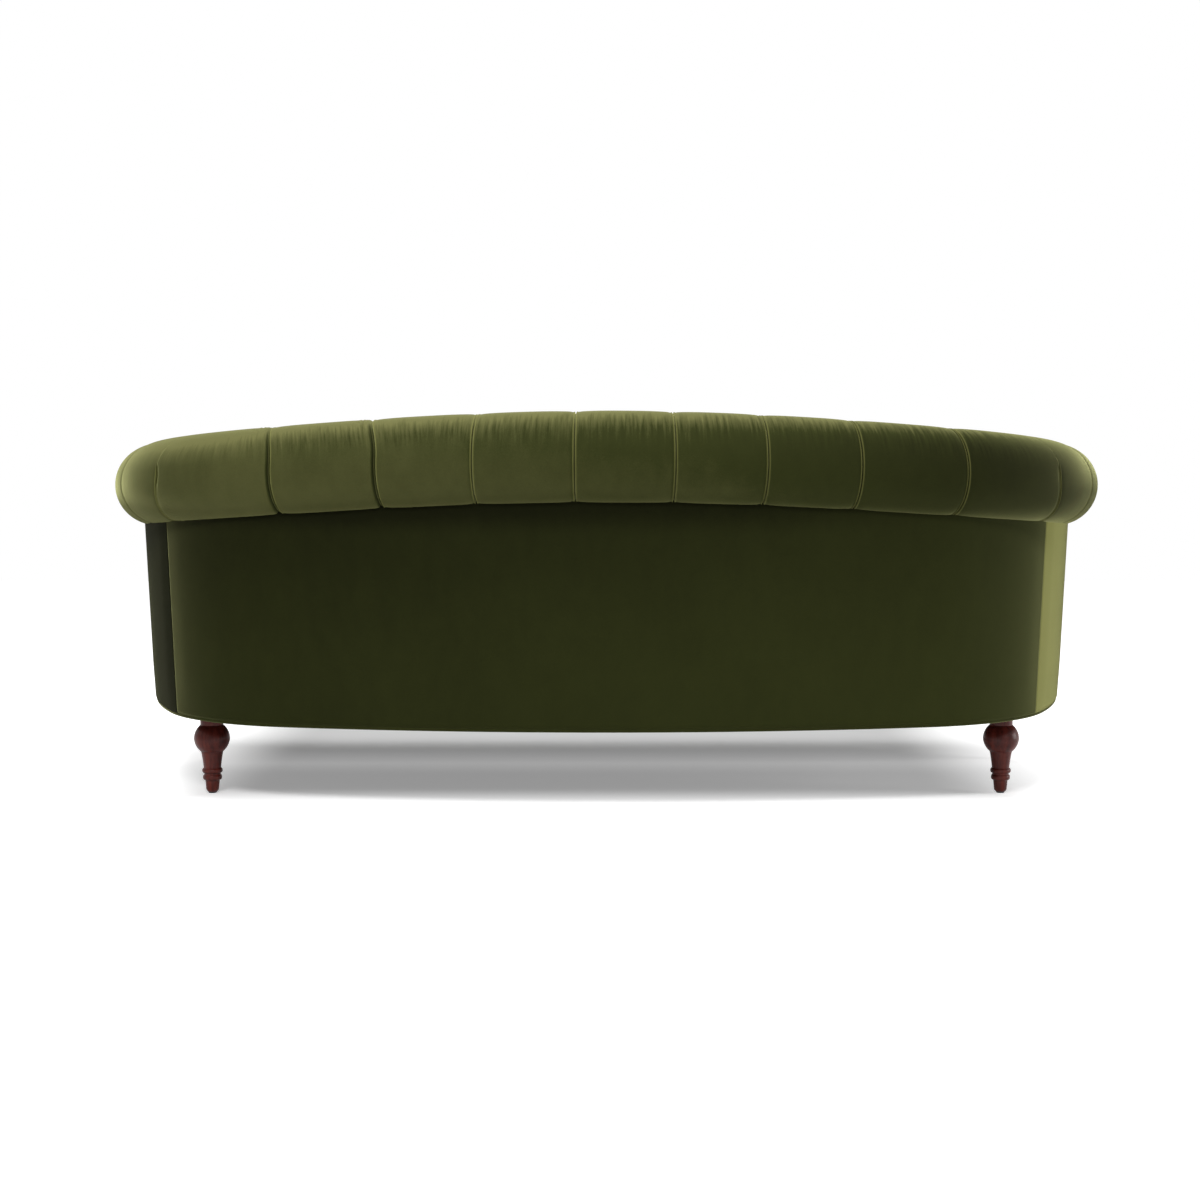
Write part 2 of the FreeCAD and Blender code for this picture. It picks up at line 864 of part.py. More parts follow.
def tee_nut():
    top = rail_underside + block_height
    barrel = Part.makeCylinder(tee_nut_radius, tee_nut_length, Vector(0, 0, top - tee_nut_length))
    flange = Part.makeCylinder(tee_nut_flange_radius, tee_nut_flange, Vector(0, 0, top))
    bore = Part.makeCylinder(bolt_radius, tee_nut_length + tee_nut_flange, Vector(0, 0, top - tee_nut_length))
    return barrel.fuse(flange).removeSplitter().cut(bore)


def moved(shape, point):
    copy = shape.copy()
    copy.translate(point)
    return copy


def write(name, shape):
    if not shape.isValid():
        print("not valid", name)
    shape.exportStep("parts/" + name + ".step")


def main():
    os.makedirs("parts", exist_ok=True)

    # base frame
    dowels = block_dowels()
    nut_hole = Part.makeCylinder(tee_nut_radius, block_height, up * rail_underside)
    nut_holes = [moved(nut_hole, point) for point in legs.values()]
    side_rail = base_rail(rail_joint, line_end)
    write("rear_base_rail", base_rail(-rail_joint, rail_joint))
    write("left_base_rail", mirrored(side_rail).cut(dowels))
    write("right_base_rail", side_rail.cut(dowels))
    write("front_base_rail", front_rail())
    write("seat_stretchers", stretchers())
    blocks = [rear_block(), front_block()]
    blocks += [mirrored(b) for b in blocks]
    write("corner_blocks", Part.makeCompound([b.cut(dowels + nut_holes) for b in blocks]))
    write("block_dowels", Part.makeCompound(dowels))

    # upper frame
    write("back_posts", Part.makeCompound([post(d) for d in back_posts]))
    arm_post_set = Part.makeCompound([post(d) for d in arm_posts + (line_end - front_post_inset,)])
    write("right_arm_posts", arm_post_set)
    write("left_arm_posts", mirrored(arm_post_set))
    write("back_top_rail", top_rail(-rail_joint, rail_joint))
    arm_rail = top_rail(rail_joint, line_end)
    write("right_arm_top_rail", arm_rail)
    write("left_arm_top_rail", mirrored(arm_rail))
    write("right_arm_front_board", arm_board())
    write("left_arm_front_board", mirrored(arm_board()))

    # seat support
    write("seat_webbing_lengthwise", webbing_columns_layer())
    write("seat_webbing_crosswise", webbing_rows_layer())
    write("seat_deck_pad", deck_pad())

    # linings and pads
    write("back_liner", liner(-pad_split, pad_split))
    arm_liner = liner(pad_split, line_end)
    write("right_arm_liner", arm_liner)
    write("left_arm_liner", mirrored(arm_liner))
    write("inside_back_pad", inside_pad(-pad_split, pad_split - seam_gap))
    write("right_inside_arm_pad", inside_pad(pad_split, line_end))
    write("left_inside_arm_pad", inside_pad(-line_end, -pad_split - seam_gap))
    write("back_buttons", buttons(-pad_split, pad_split))
    write("right_arm_buttons", buttons(pad_split, line_end))
    write("left_arm_buttons", buttons(-line_end, -pad_split))

    # roll
    count = len(arm_pleat_steps)
    left_end = folds[count] - pleat_half_width - seam_gap
    right_end = folds[-count - 1] + pleat_half_width + seam_gap
    write("back_roll", pleated_roll(left_end, folds[count:-count], right_end))
    write("right_arm_roll", pleated_roll(right_end + seam_gap, folds[-count:], line_end))
    write("left_arm_roll", pleated_roll(-line_end, folds[:count], left_end - seam_gap))

    # outside covers
    write("outside_back_panel", outside_panel(-seam_distance + seam_gap, seam_distance - seam_gap))
    arm_panel = outside_panel(seam_distance, line_end)
    write("right_outside_arm_panel", arm_panel)
    write("left_outside_arm_panel", mirrored(arm_panel))
    write("right_arm_facing", arm_facing())
    write("left_arm_facing", mirrored(arm_facing()))
    write("front_border", front_border())
    write("base_piping", base_piping())
    write("dust_cover", dust_cover())

    # cushions
    write("centre_seat_cushion", centre_cushion())
    right_cushion = side_cushion()
    write("right_seat_cushion", right_cushion)
    write("left_seat_cushion", mirrored(right_cushion))

    # legs
    leg = turned_leg()
    foot = glide()
    for name, point in legs.items():
        write(name + "_leg", moved(leg, point))
        write(name + "_glide", moved(foot, point))
    write("leg_bolts", Part.makeCompound([moved(bolt(), p) for p in legs.values()]))
    write("tee_nuts", Part.makeCompound([moved(tee_nut(), p) for p in legs.values()]))


main()
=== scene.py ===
import math
import bpy
import numpy as np
from mathutils import Matrix, Vector


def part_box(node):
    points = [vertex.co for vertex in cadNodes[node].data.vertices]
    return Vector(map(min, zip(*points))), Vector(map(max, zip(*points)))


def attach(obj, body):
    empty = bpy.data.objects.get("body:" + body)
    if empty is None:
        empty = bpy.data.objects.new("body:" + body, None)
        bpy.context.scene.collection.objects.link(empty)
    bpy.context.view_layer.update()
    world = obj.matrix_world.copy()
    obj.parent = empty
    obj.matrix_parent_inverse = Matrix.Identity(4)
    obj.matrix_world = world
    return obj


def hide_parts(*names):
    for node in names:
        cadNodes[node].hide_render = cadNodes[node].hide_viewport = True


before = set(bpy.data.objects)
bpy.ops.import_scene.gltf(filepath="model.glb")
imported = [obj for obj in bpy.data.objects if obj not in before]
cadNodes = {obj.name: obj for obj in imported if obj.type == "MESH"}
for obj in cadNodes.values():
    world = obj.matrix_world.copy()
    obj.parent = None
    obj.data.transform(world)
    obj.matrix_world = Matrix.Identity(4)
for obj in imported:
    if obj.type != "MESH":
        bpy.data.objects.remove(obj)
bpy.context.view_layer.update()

print("frame loaded,", len(cadNodes), "nodes")


# plan line, walls and roll: the same driving sizes as the model's source, in metres
line = {
    "backRadius": 2.640, "backHalfAngle": 14.0,
    "cornerRadius": 0.390, "cornerAngle": 51.7,
    "armRadius": 1.315,
    "wallLean": 2.45,
    "railFoot": 0.168,
    "rollCentre": 0.694, "rollRadius": 0.088, "armRollRadius": 0.0845,
    "rollOffset": -0.0025, "shoulderAngle": 150.0, "shoulderOffset": -0.119, "seatDrop": 0.060,
    "archDrop": 0.062, "archRun": 1.398,
    "padFoot": -0.160, "padBelly": -0.178, "padWaist": -0.172, "padWaistShare": 0.46, "padChest": 0.004,
    "padBack": -0.0377,
}


def bearing(angle):  # unit vector at an angle from +Y
    return np.array([math.sin(angle), math.cos(angle)])


angleA = math.radians(line["backHalfAngle"])
angleB = angleA + math.radians(line["cornerAngle"])
angleC = math.pi / 2
backRun = line["backRadius"] * angleA
cornerEnd = backRun + line["cornerRadius"] * (angleB - angleA)
lineEnd = cornerEnd + line["armRadius"] * (angleC - angleB)
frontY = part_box("front_base_rail")[0].y
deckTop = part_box("seat_deck_pad")[1].z
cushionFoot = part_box("centre_seat_cushion")[0].z
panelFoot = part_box("outside_back_panel")[0].z
centreB = bearing(angleA) * (line["backRadius"] - line["cornerRadius"])
centreC = centreB + bearing(angleB) * (line["cornerRadius"] - line["armRadius"])
backCentreY = frontY - centreC[1]
backY = backCentreY + line["backRadius"]
arcs = np.array([  # of half the plan line: centre x and y, radius, run and angle at its start
    [0.0, 0.0, line["backRadius"], 0.0, 0.0],
    [*centreB, line["cornerRadius"], backRun, angleA],
    [*centreC, line["armRadius"], cornerEnd, angleB],
])


def turnAt(distance):  # arc centre, radius and how far round it, for places along the plan line
    run = np.abs(distance)
    arc = (run > backRun) * 1 + (run > cornerEnd)
    centreX, centreY, radius, start, first = np.moveaxis(arcs[arc], -1, 0)
    return centreX, backCentreY + centreY, radius, first + (run - start) / radius


def place(distance, offset, height):  # points along the plan line, offset outwards from it
    distance, offset, height = np.broadcast_arrays(distance, offset, height)
    centreX, centreY, radius, turn = turnAt(distance)
    side = np.where(distance < 0, -1.0, 1.0)
    out = radius + offset
    return np.stack([side * (centreX + np.sin(turn) * out), centreY + np.cos(turn) * out, height], axis=-1)


def lean(height):
    return (height - line["railFoot"]) * math.tan(math.radians(line["wallLean"]))


def share(distance):
    return np.minimum(np.abs(distance), line["archRun"]) / line["archRun"]


def rollCentre(distance):
    return line["rollCentre"] - line["archDrop"] * (1 - np.cos(np.pi * share(distance))) / 2


def rollRadius(distance):
    return line["rollRadius"] + (line["armRollRadius"] - line["rollRadius"]) * share(distance)


def rollSeat(distance):
    return rollCentre(distance) - line["seatDrop"]


def smooth(value, low, high):
    x = np.clip((value - low) / (high - low), 0, 1)
    return x * x * (3 - 2 * x)


def bell(value, width):
    return np.exp(-(value / width) ** 2)


def edgeRoll(gap, radius):  # how far a rounded edge has dropped, at a gap from the edge
    inside = np.clip(gap / radius, 0, 1)
    return radius * (1 - np.sqrt(1 - (1 - inside) ** 2))


def unit(vectors):
    return vectors / np.linalg.norm(vectors, axis=-1, keepdims=True)


def closed(points):  # the first point added again at the end
    return np.concatenate([points, points[:1]])


def runAlong(points):  # length so far along a line of points, or along a grid's columns on average
    steps = np.linalg.norm(np.diff(points, axis=-2), axis=-1)
    return np.concatenate([[0], np.cumsum(np.atleast_2d(steps).mean(axis=0))])


def bowed(start, end, push, parts):  # flat points from start to end, pushed to the right in the middle
    run = np.subtract(end, start)
    parts = np.array(parts)[:, None]
    return start + run * parts + unit(np.array([run[1], -run[0]])) * push * 4 * parts * (1 - parts)

# camera, at the photograph's viewing angle
camera = {"lens": 60, "distance": 3.815, "height": 0.6944, "tilt": 4.08, "shiftX": -0.0054}
bpy.ops.object.camera_add(
    location=(0, backY + camera["distance"], camera["height"]),
    rotation=(math.radians(90 - camera["tilt"]), 0, math.pi),
)
photoCamera = bpy.context.object
photoCamera.name = "photoCamera"
photoCamera.data.lens = camera["lens"]
photoCamera.data.shift_x = camera["shiftX"]
photoCamera.data.dof.use_dof = False
bpy.context.scene.camera = photoCamera

# materials
def fillInputs(tree, node, inputs):  # each socket gets a value, or a link from another node
    for socket, value in inputs.items():
        if isinstance(value, bpy.types.NodeSocket):
            tree.links.new(value, node.inputs[socket])
        else:
            node.inputs[socket].default_value = value


def addNode(tree, kind, inputs, output=0, **options):
    node = tree.nodes.new("ShaderNode" + kind)
    for key, value in options.items():
        setattr(node, key, value)
    fillInputs(tree, node, inputs)
    return node.outputs[output]


def newMaterial(name):
    material = bpy.data.materials.new(name)
    material.use_nodes = True
    return material, material.node_tree


def setShader(tree, inputs):
    fillInputs(tree, tree.nodes["Principled BSDF"], inputs)


def objectPlace(tree):
    return addNode(tree, "TexCoord", {}, "Object")


def addNoise(tree, source, scale, detail, roughness, stretch=(1, 1, 1)):
    spot = addNode(tree, "Mapping", {"Vector": source, "Scale": stretch}, "Vector")
    inputs = {"Vector": spot, "Scale": scale, "Detail": detail, "Roughness": roughness}
    return addNode(tree, "TexNoise", inputs, "Fac")


def addMath(tree, operation, *values):
    return addNode(tree, "Math", dict(enumerate(values)), operation=operation)


def addLargest(tree, first, *others):
    for other in others:
        first = addMath(tree, "MAXIMUM", first, other)
    return first


def addRamp(tree, factor, *stops):
    colour = addNode(tree, "ValToRGB", {"Fac": factor}, "Color")
    points = colour.node.color_ramp.elements
    points[0].position, points[0].color = stops[0][0], (*stops[0][1], 1)
    points[1].position, points[1].color = stops[-1][0], (*stops[-1][1], 1)
    for position, middle in stops[1:-1]:
        points.new(position).color = (*middle, 1)
    return colour


def addBump(tree, height, strength, distance):
    return addNode(tree, "Bump", {"Height": height, "Strength": strength, "Distance": distance}, "Normal")


velvet = {
    # the ramp runs from deep through body to its palest stop: painted light on the covers lifts the tone
    # towards the palest stop, painted shade lowers it towards deep
    "deep": (0.0060, 0.0066, 0.0020), "body": (0.0265, 0.0305, 0.0078), "brushedAndLit": (0.125, 0.125, 0.046),
    # edge is the colour of the painted highlight
    "edge": (0.20, 0.20, 0.062),
    "tint": (0.60, 0.61, 0.27), "sheen": 0.85, "shadedSheen": 0.05, "sheenRoughness": 0.34, "roughness": 0.85,
    "specular": 0.03, "bump": (0.25, 0.0006),
    "clouds": (5.0, 3.0, 0.55), "brushing": (34.0, 3.0, 0.6, (1, 1, 0.45)),
    "streaks": (150.0, 3.0, 0.6, (1, 0.07, 1)), "pile": (700.0, 4.0, 0.7),
    "cloudShare": 0.16, "brushingShare": 0.10, "streakShare": 1.5, "pileShare": 0.30,
}


def makeVelvet(name, sheen):
    material, tree = newMaterial(name)
    spot = objectPlace(tree)
    # the tone attribute holds each piece's tone with its painted light and shade; the edge attribute holds its
    # painted highlight
    tone = addNode(tree, "Attribute", {}, "Fac", attribute_name="toneAndPaintedLight")
    edge = addNode(tree, "Attribute", {}, "Fac", attribute_name="paintedHighlight")
    crush = addNode(tree, "Attribute", {}, "Fac", attribute_name="crush")
    pile = addNoise(tree, spot, *velvet["pile"])
    streaks = addNoise(tree, addNode(tree, "UVMap", {}, "UV"), *velvet["streaks"])
    for pattern, amount in (
        (addNoise(tree, spot, *velvet["clouds"]), velvet["cloudShare"]),
        (addNoise(tree, spot, *velvet["brushing"]), velvet["brushingShare"]),
        (streaks, addMath(tree, "MULTIPLY", crush, velvet["streakShare"])),
        (pile, velvet["pileShare"]),
    ):
        tone = addMath(tree, "MULTIPLY_ADD", addMath(tree, "SUBTRACT", pattern, 0.5), amount, tone)
    colour = addRamp(tree, tone, (0.0, velvet["deep"]), (0.5, velvet["body"]), (1.0, velvet["brushedAndLit"]))
    # the painted highlight mixes the colour towards the edge colour
    mix = {"Factor": edge, "A": colour, "B": (*velvet["edge"], 1)}
    setShader(tree, {
        "Base Color": addNode(tree, "Mix", mix, "Result", data_type="RGBA"),
        "Roughness": velvet["roughness"], "Specular IOR Level": velvet["specular"],
        "Sheen Weight": sheen, "Sheen Roughness": velvet["sheenRoughness"], "Sheen Tint": (*velvet["tint"], 1),
        "Normal": addBump(tree, pile, *velvet["bump"]),
    })
    return material


mahogany = {
    "dark": (0.020, 0.0045, 0.0036), "mid": (0.080, 0.0125, 0.0082), "light": (0.150, 0.026, 0.016),
    "grain": (60.0, 5.0, 0.6, (1, 1, 0.07)), "pores": (900.0, 2.0, 0.5, (1, 1, 0.05)), "poreShare": 0.18,
    "roughness": 0.42, "specular": 0.10, "coat": 0.16, "coatRoughness": 0.20, "bump": (0.12, 0.0004),
}


def makeMahogany():
    material, tree = newMaterial("mahoganyLacquer")
    grain = addNoise(tree, objectPlace(tree), *mahogany["grain"])
    pores = addNoise(tree, objectPlace(tree), *mahogany["pores"])
    tone = addMath(tree, "MULTIPLY_ADD", pores, mahogany["poreShare"], grain)
    colour = addRamp(tree, tone, (0.38, mahogany["dark"]), (0.58, mahogany["mid"]), (0.82, mahogany["light"]))
    setShader(tree, {
        "Base Color": colour, "Roughness": mahogany["roughness"], "Specular IOR Level": mahogany["specular"],
        "Coat Weight": mahogany["coat"], "Coat Roughness": mahogany["coatRoughness"],
        "Normal": addBump(tree, pores, *mahogany["bump"]),
    })
    return material


def makeRaw(name, dark, light, roughness, scale, bump, stretch=(1, 1, 1), metallic=0.0):
    material, tree = newMaterial(name)
    grain = addNoise(tree, objectPlace(tree), scale, 4.0, 0.6, stretch)
    setShader(tree, {
        "Base Color": addRamp(tree, grain, (0.3, dark), (0.7, light)), "Roughness": roughness,
        "Metallic": metallic, "Normal": addBump(tree, grain, 0.3, bump),
    })
    return material


def makeWeave(name, dark, light, threads, bump):  # plain woven cloth, by its threads per metre
    material, tree = newMaterial(name)
    waves = []
    for axis, stretch in (("X", (threads, 0, 0)), ("Y", (0, threads, 0))):
        spot = addNode(tree, "Mapping", {"Vector": objectPlace(tree), "Scale": stretch}, "Vector")
        inputs = {"Vector": spot, "Scale": 0.32, "Distortion": 0.6}
        waves.append(addNode(tree, "TexWave", inputs, "Fac", bands_direction=axis))
    weave = addMath(tree, "MULTIPLY", *waves)
    slub = addNoise(tree, objectPlace(tree), 40.0, 3.0, 0.6)
    tone = addMath(tree, "MULTIPLY_ADD", weave, 0.5, addMath(tree, "MULTIPLY", slub, 0.6))
    setShader(tree, {
        "Base Color": addRamp(tree, tone, (0.25, dark), (0.75, light)), "Roughness": 0.9,
        "Normal": addBump(tree, weave, 0.4, bump),
    })
    return material


velvetCover = makeVelvet("oliveVelvet", velvet["sheen"])
# a shaded copy of the velvet with almost no sheen, to paint the outside arm at +X dark
shadedVelvet = makeVelvet("oliveVelvetShaded", velvet["shadedSheen"])
legLacquer = makeMahogany()
glidePlastic = makeRaw("glidePlastic", (0.010, 0.010, 0.010), (0.022, 0.022, 0.021), 0.42, 260.0, 0.0002)
frameWood = makeRaw("beechFrame", (0.33, 0.21, 0.12), (0.52, 0.37, 0.22), 0.62, 45.0, 0.0004, (0.15, 1, 1))
steel = makeRaw("zincSteel", (0.42, 0.42, 0.41), (0.58, 0.58, 0.56), 0.36, 300.0, 0.0001, metallic=1.0)
juteWebbing = makeWeave("juteWebbing", (0.19, 0.13, 0.07), (0.42, 0.31, 0.19), 260.0, 0.0008)
burlap = makeWeave("burlapLining", (0.20, 0.145, 0.085), (0.40, 0.31, 0.20), 420.0, 0.0006)
deckCloth = makeWeave("deckCloth", (0.018, 0.020, 0.010), (0.055, 0.060, 0.030), 900.0, 0.0003)
dustCloth = makeWeave("dustCoverCloth", (0.008, 0.008, 0.008), (0.028, 0.028, 0.027), 1100.0, 0.0002)

hidden = {
    "rail": frameWood, "post": frameWood, "stretcher": frameWood, "corner_blocks": frameWood,
    "dowels": frameWood, "front_board": frameWood, "webbing": juteWebbing, "liner": burlap,
    "bolts": steel, "nuts": steel, "glide": glidePlastic,
}
for nodeName, node in cadNodes.items():
    for word, material in hidden.items():
        if word in nodeName:
            node.data.materials.clear()
            node.data.materials.append(material)
print("materials made")


# making and finishing pieces
def paint(piece, toneAndPaintedLight, paintedHighlight=0.0, crush=0.0):  # tone of the velvet with its painted light and shade, its painted highlight and its crush streaks
    for name, values in (("toneAndPaintedLight", toneAndPaintedLight), ("paintedHighlight", paintedHighlight), ("crush", crush)):
        layer = piece.data.attributes.new(name, "FLOAT", "POINT")
        layer.data.foreach_set("value", np.full(len(piece.data.vertices), values, dtype=np.float32))


def skin(name, points, uv, *tones):  # a grid of quads through points[column][row]
    columns, rows = points.shape[:2]
    bpy.ops.mesh.primitive_grid_add(x_subdivisions=columns - 1, y_subdivisions=rows - 1, size=1)
    piece = bpy.context.object
    piece.name = piece.data.name = name
    flat = np.empty(columns * rows * 3)
    piece.data.vertices.foreach_get("co", flat)
    flat = flat.reshape(-1, 3)
    column = np.rint((flat[:, 0] + 0.5) * (columns - 1)).astype(int)
    row = np.rint((flat[:, 1] + 0.5) * (rows - 1)).astype(int)
    piece.data.vertices.foreach_set("co", points[column, row].ravel())
    corner = np.empty(len(piece.data.loops), dtype=int)
    piece.data.loops.foreach_get("vertex_index", corner)
    piece.data.uv_layers[0].data.foreach_set("uv", uv[column, row][corner].ravel())
    if tones:
        paint(piece, *[np.broadcast_to(tone, (columns, rows))[column, row] for tone in tones])
    return piece


def closeSkin(openRims=True):  # the new piece's seams merged, open rims filled, faces turned outwards
    bpy.ops.object.mode_set(mode="EDIT")
    bpy.ops.mesh.select_all(action="SELECT")
    bpy.ops.mesh.remove_doubles(threshold=0.000005)
    if openRims:
        bpy.ops.mesh.select_all(action="DESELECT")
        bpy.ops.mesh.select_non_manifold(extend=False)
        bpy.ops.mesh.edge_face_add()
        bpy.ops.mesh.select_all(action="SELECT")
    bpy.ops.mesh.normals_make_consistent(inside=False)
    bpy.ops.object.mode_set(mode="OBJECT")


def selectOnly(*pieces):
    bpy.ops.object.select_all(action="DESELECT")
    for piece in pieces:
        piece.select_set(True)
    bpy.context.view_layer.objects.active = pieces[0]


def copyOf(model):
    copy = model.copy()
    copy.data = model.data.copy()
    bpy.context.collection.objects.link(copy)
    return copy


def finishPiece(piece, material, body, replaced=(), smoothAngle=None):
    piece.data.materials.clear()
    piece.data.materials.append(material)
    selectOnly(piece)
    if smoothAngle is None:
        bpy.ops.object.shade_smooth()
    else:
        bpy.ops.object.shade_smooth_by_angle(angle=math.radians(smoothAngle))
    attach(piece, body)
    if replaced:
        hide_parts(*replaced)


# pleated roll and buttoned inside, one cover for the back and one for each arm
cover = {
    "folds": (-0.878, -0.666, -0.463, -0.287, -0.118, 0.058, 0.233, 0.424, 0.628, 0.868),
    "strays": (0, -0.008, -0.008, -0.008, -0.008, 0, 0.012, 0, 0, 0),  # each fold beside its straight line
    "fans": (0, 0, 0, 0, 0, 0, 0, 0.024, 0.024, 0),  # how much further out it crosses the crest than the foot
    "slants": (-0.036, 0, 0, 0, 0, 0, 0, 0, 0, 0.036),  # and how much further out its foot starts
    "armSteps": (0.205, 0.190, 0.165),
    "finest": 0.0006, "coarsest": 0.0075, "growth": 1.17, "rollRow": 0.005,
    "wrap": (0.25, 0.5, 0.62, 0.72, 0.81, 0.89, 0.95, 0.985, 1.0),
    "lipStations": (0, 0.0025, 0.005, 0.0075, 0.0105), "lipGap": 0.0005, "lipRound": 0.004,
    "frontRound": 0.006,
    "rollRun": 0.345,  # round the roll from the lip to the shoulder, in metres
    "puff": 0.0012, "puffWidth": 0.030, "dip": 0.0012, "dipWidth": 0.009,
    "crease": 0.0036, "creaseWidth": 0.0011, "ridge": 0.0012, "ridgeAt": 0.0024, "ridgeWidth": 0.0010,
    "tuck": 0.0042, "tuckAt": 0.0046, "tuckWidth": 0.0026, "gather": 0.0013, "gatherWave": 0.0080,
    "tuftDepth": 0.013, "tuftWidth": 0.021, "upperDrop": 0.042, "lowerDrop": 0.112, "valley": 0.007,
    "valleyWidth": 0.007, "valleyFall": 0.16, "padSwell": 0.003,
}
backFolds = list(cover["folds"])
rightFolds, leftFolds = [backFolds[-1]], [backFolds[0]]
for armStep in cover["armSteps"]:
    rightFolds.append(rightFolds[-1] + armStep)
    leftFolds.insert(0, leftFolds[0] - armStep)
allFolds = leftFolds[:-1] + backFolds + rightFolds[1:]
boardThickness = 0.012  # the covers wrap round the arms' front boards
coverFront = lineEnd + boardThickness
foldEnds = [-lineEnd] + allFolds + [lineEnd]
upperButtons = [(d, cover["upperDrop"]) for d in allFolds]
lowerButtons = [((a + b) / 2, cover["lowerDrop"]) for a, b in zip(foldEnds, foldEnds[1:])]

def arcFrom(start, direction, end, part):  # along the arc that leaves start in a direction and meets end
    chordX, chordY = end[0] - start[0], end[1] - start[1]
    bend = direction - np.arctan2(chordY, chordX)
    bend = np.arctan2(np.sin(bend), np.cos(bend))
    reach = np.hypot(chordX, chordY) * np.sin(bend * part) / np.sin(bend)
    heading = direction - bend * part
    return start[0] + reach * np.cos(heading), start[1] + reach * np.sin(heading)


def lipAngle(distance):
    lipOffset = lean(rollSeat(distance)) + cover["lipGap"]
    return -np.arccos((lipOffset - line["rollOffset"]) / rollRadius(distance))


def onCircle(distance, angle, radius):  # a point round the roll's own centre
    return line["rollOffset"] + radius * np.cos(angle), rollCentre(distance) + radius * np.sin(angle)


def sectionAt(distance, station):  # station 0 to 1 over the roll, to 2 down its neck, to 3 down the pad
    shoulder = math.radians(line["shoulderAngle"])
    first = lipAngle(distance)
    angle = first + (shoulder - first) * np.clip(station, 0, 1)
    roll = onCircle(distance, angle, rollRadius(distance))
    shoulderPoint = onCircle(distance, shoulder, rollRadius(distance))
    top = rollSeat(distance)
    seatPoint = (line["shoulderOffset"], top)
    neck = arcFrom(shoulderPoint, shoulder + math.pi / 2, seatPoint, np.clip(station - 1, 0, 1))
    fallen = np.clip(station - 2, 0, 1)
    height = top + (cushionFoot - top) * fallen
    waistPart = 1 - line["padWaistShare"]
    upper = fallen / waistPart
    lower = (fallen - waistPart) / line["padWaistShare"]
    bellyBulge = line["padBelly"] - (line["padFoot"] + line["padWaist"]) / 2
    upperOffset = line["shoulderOffset"] + (line["padWaist"] - line["shoulderOffset"]) * upper
    upperOffset = upperOffset - 4 * line["padChest"] * upper * (1 - upper)
    lowerOffset = line["padWaist"] + (line["padFoot"] - line["padWaist"]) * lower
    lowerOffset = lowerOffset + 4 * bellyBulge * lower * (1 - lower)
    padOffset = np.where(fallen < waistPart, upperOffset, lowerOffset)
    offset = np.where(station <= 1, roll[0], np.where(station <= 2, neck[0], padOffset))
    tall = np.where(station <= 1, roll[1], np.where(station <= 2, neck[1], height))
    return offset, tall, np.degrees(angle)


def columnPlaces(start, end):  # closer together near the folds
    marks = [mark for mark in foldEnds if start - 0.0001 <= mark <= end + 0.0001]
    places = [marks[0]]
    for low, high in zip(marks, marks[1:]):
        run, step = [0.0], cover["finest"]
        while run[-1] < (high - low) / 2:
            run.append(run[-1] + step)
            step = min(step * cover["growth"], cover["coarsest"])
        run = [r * (high - low) / 2 / run[-1] for r in run]
        places += [low + r for r in run[1:]] + [high - r for r in run[-2::-1]]
    wrap = boardThickness * np.array(cover["wrap"])
    if end == lineEnd:
        places += list(lineEnd + wrap)
    if start == -lineEnd:
        places = list(-lineEnd - wrap[::-1]) + places
    return np.array(places)

def pleatShift(u, station, angle):  # how far the pleats stray from a straight line over the roll
    armFolds = len(cover["armSteps"]) + 1
    shifts = [np.interp(u, foldEnds, np.pad(cover[key], armFolds)) for key in ("strays", "fans", "slants")]
    held = np.where(station <= 1, 1, 1 - smooth(station, 1.1, 2.13))
    low = np.where(station <= 1, 1 - smooth(angle, -80, 8), 0)
    return (shifts[0] + shifts[1] * smooth(angle, 10, 90)) * held + shifts[2] * low


def quiltLines():  # creases from each upper button to the two lower ones beside it, and down from those
    lines = []
    for i, upper in enumerate(upperButtons):
        lines += [(upper, lowerButtons[i]), (upper, lowerButtons[i + 1])]
    for distance, drop in lowerButtons:
        lines.append(((distance, drop), (distance + 0.0001, drop + cover["valleyFall"])))
    return lines


def valleyField(x, y, end):  # 1 on the segment from 0, 0 to end, fading across it
    part = np.clip((x * end[0] + y * end[1]) / (end[0] ** 2 + end[1] ** 2), 0, 1)
    return np.exp(-np.hypot(x - part * end[0], y - part * end[1]) / cover["valleyWidth"])


def padRelief(u, scale, drop):  # dents at the buttons and creases between them, on a swelling above
    dents = np.zeros_like(drop)
    for distance, fallen in upperButtons + lowerButtons:
        reach = np.hypot((u - distance) * scale, drop - fallen)
        dents = np.maximum(dents, np.exp(-(reach / cover["tuftWidth"]) ** 1.15) * cover["tuftDepth"])
    for (upperAt, upperFall), (lowerAt, lowerFall) in quiltLines():
        near = np.abs(u - (upperAt + lowerAt) / 2) < 0.2
        end = ((lowerAt - upperAt) * float(np.mean(scale)), lowerFall - upperFall)
        field = valleyField((u - upperAt) * scale, drop - upperFall, end)
        dents = np.maximum(dents, np.where(near, field, 0) * cover["valley"])
    return cover["padSwell"] * (1 - smooth(drop, 0.12, 0.17)) - dents


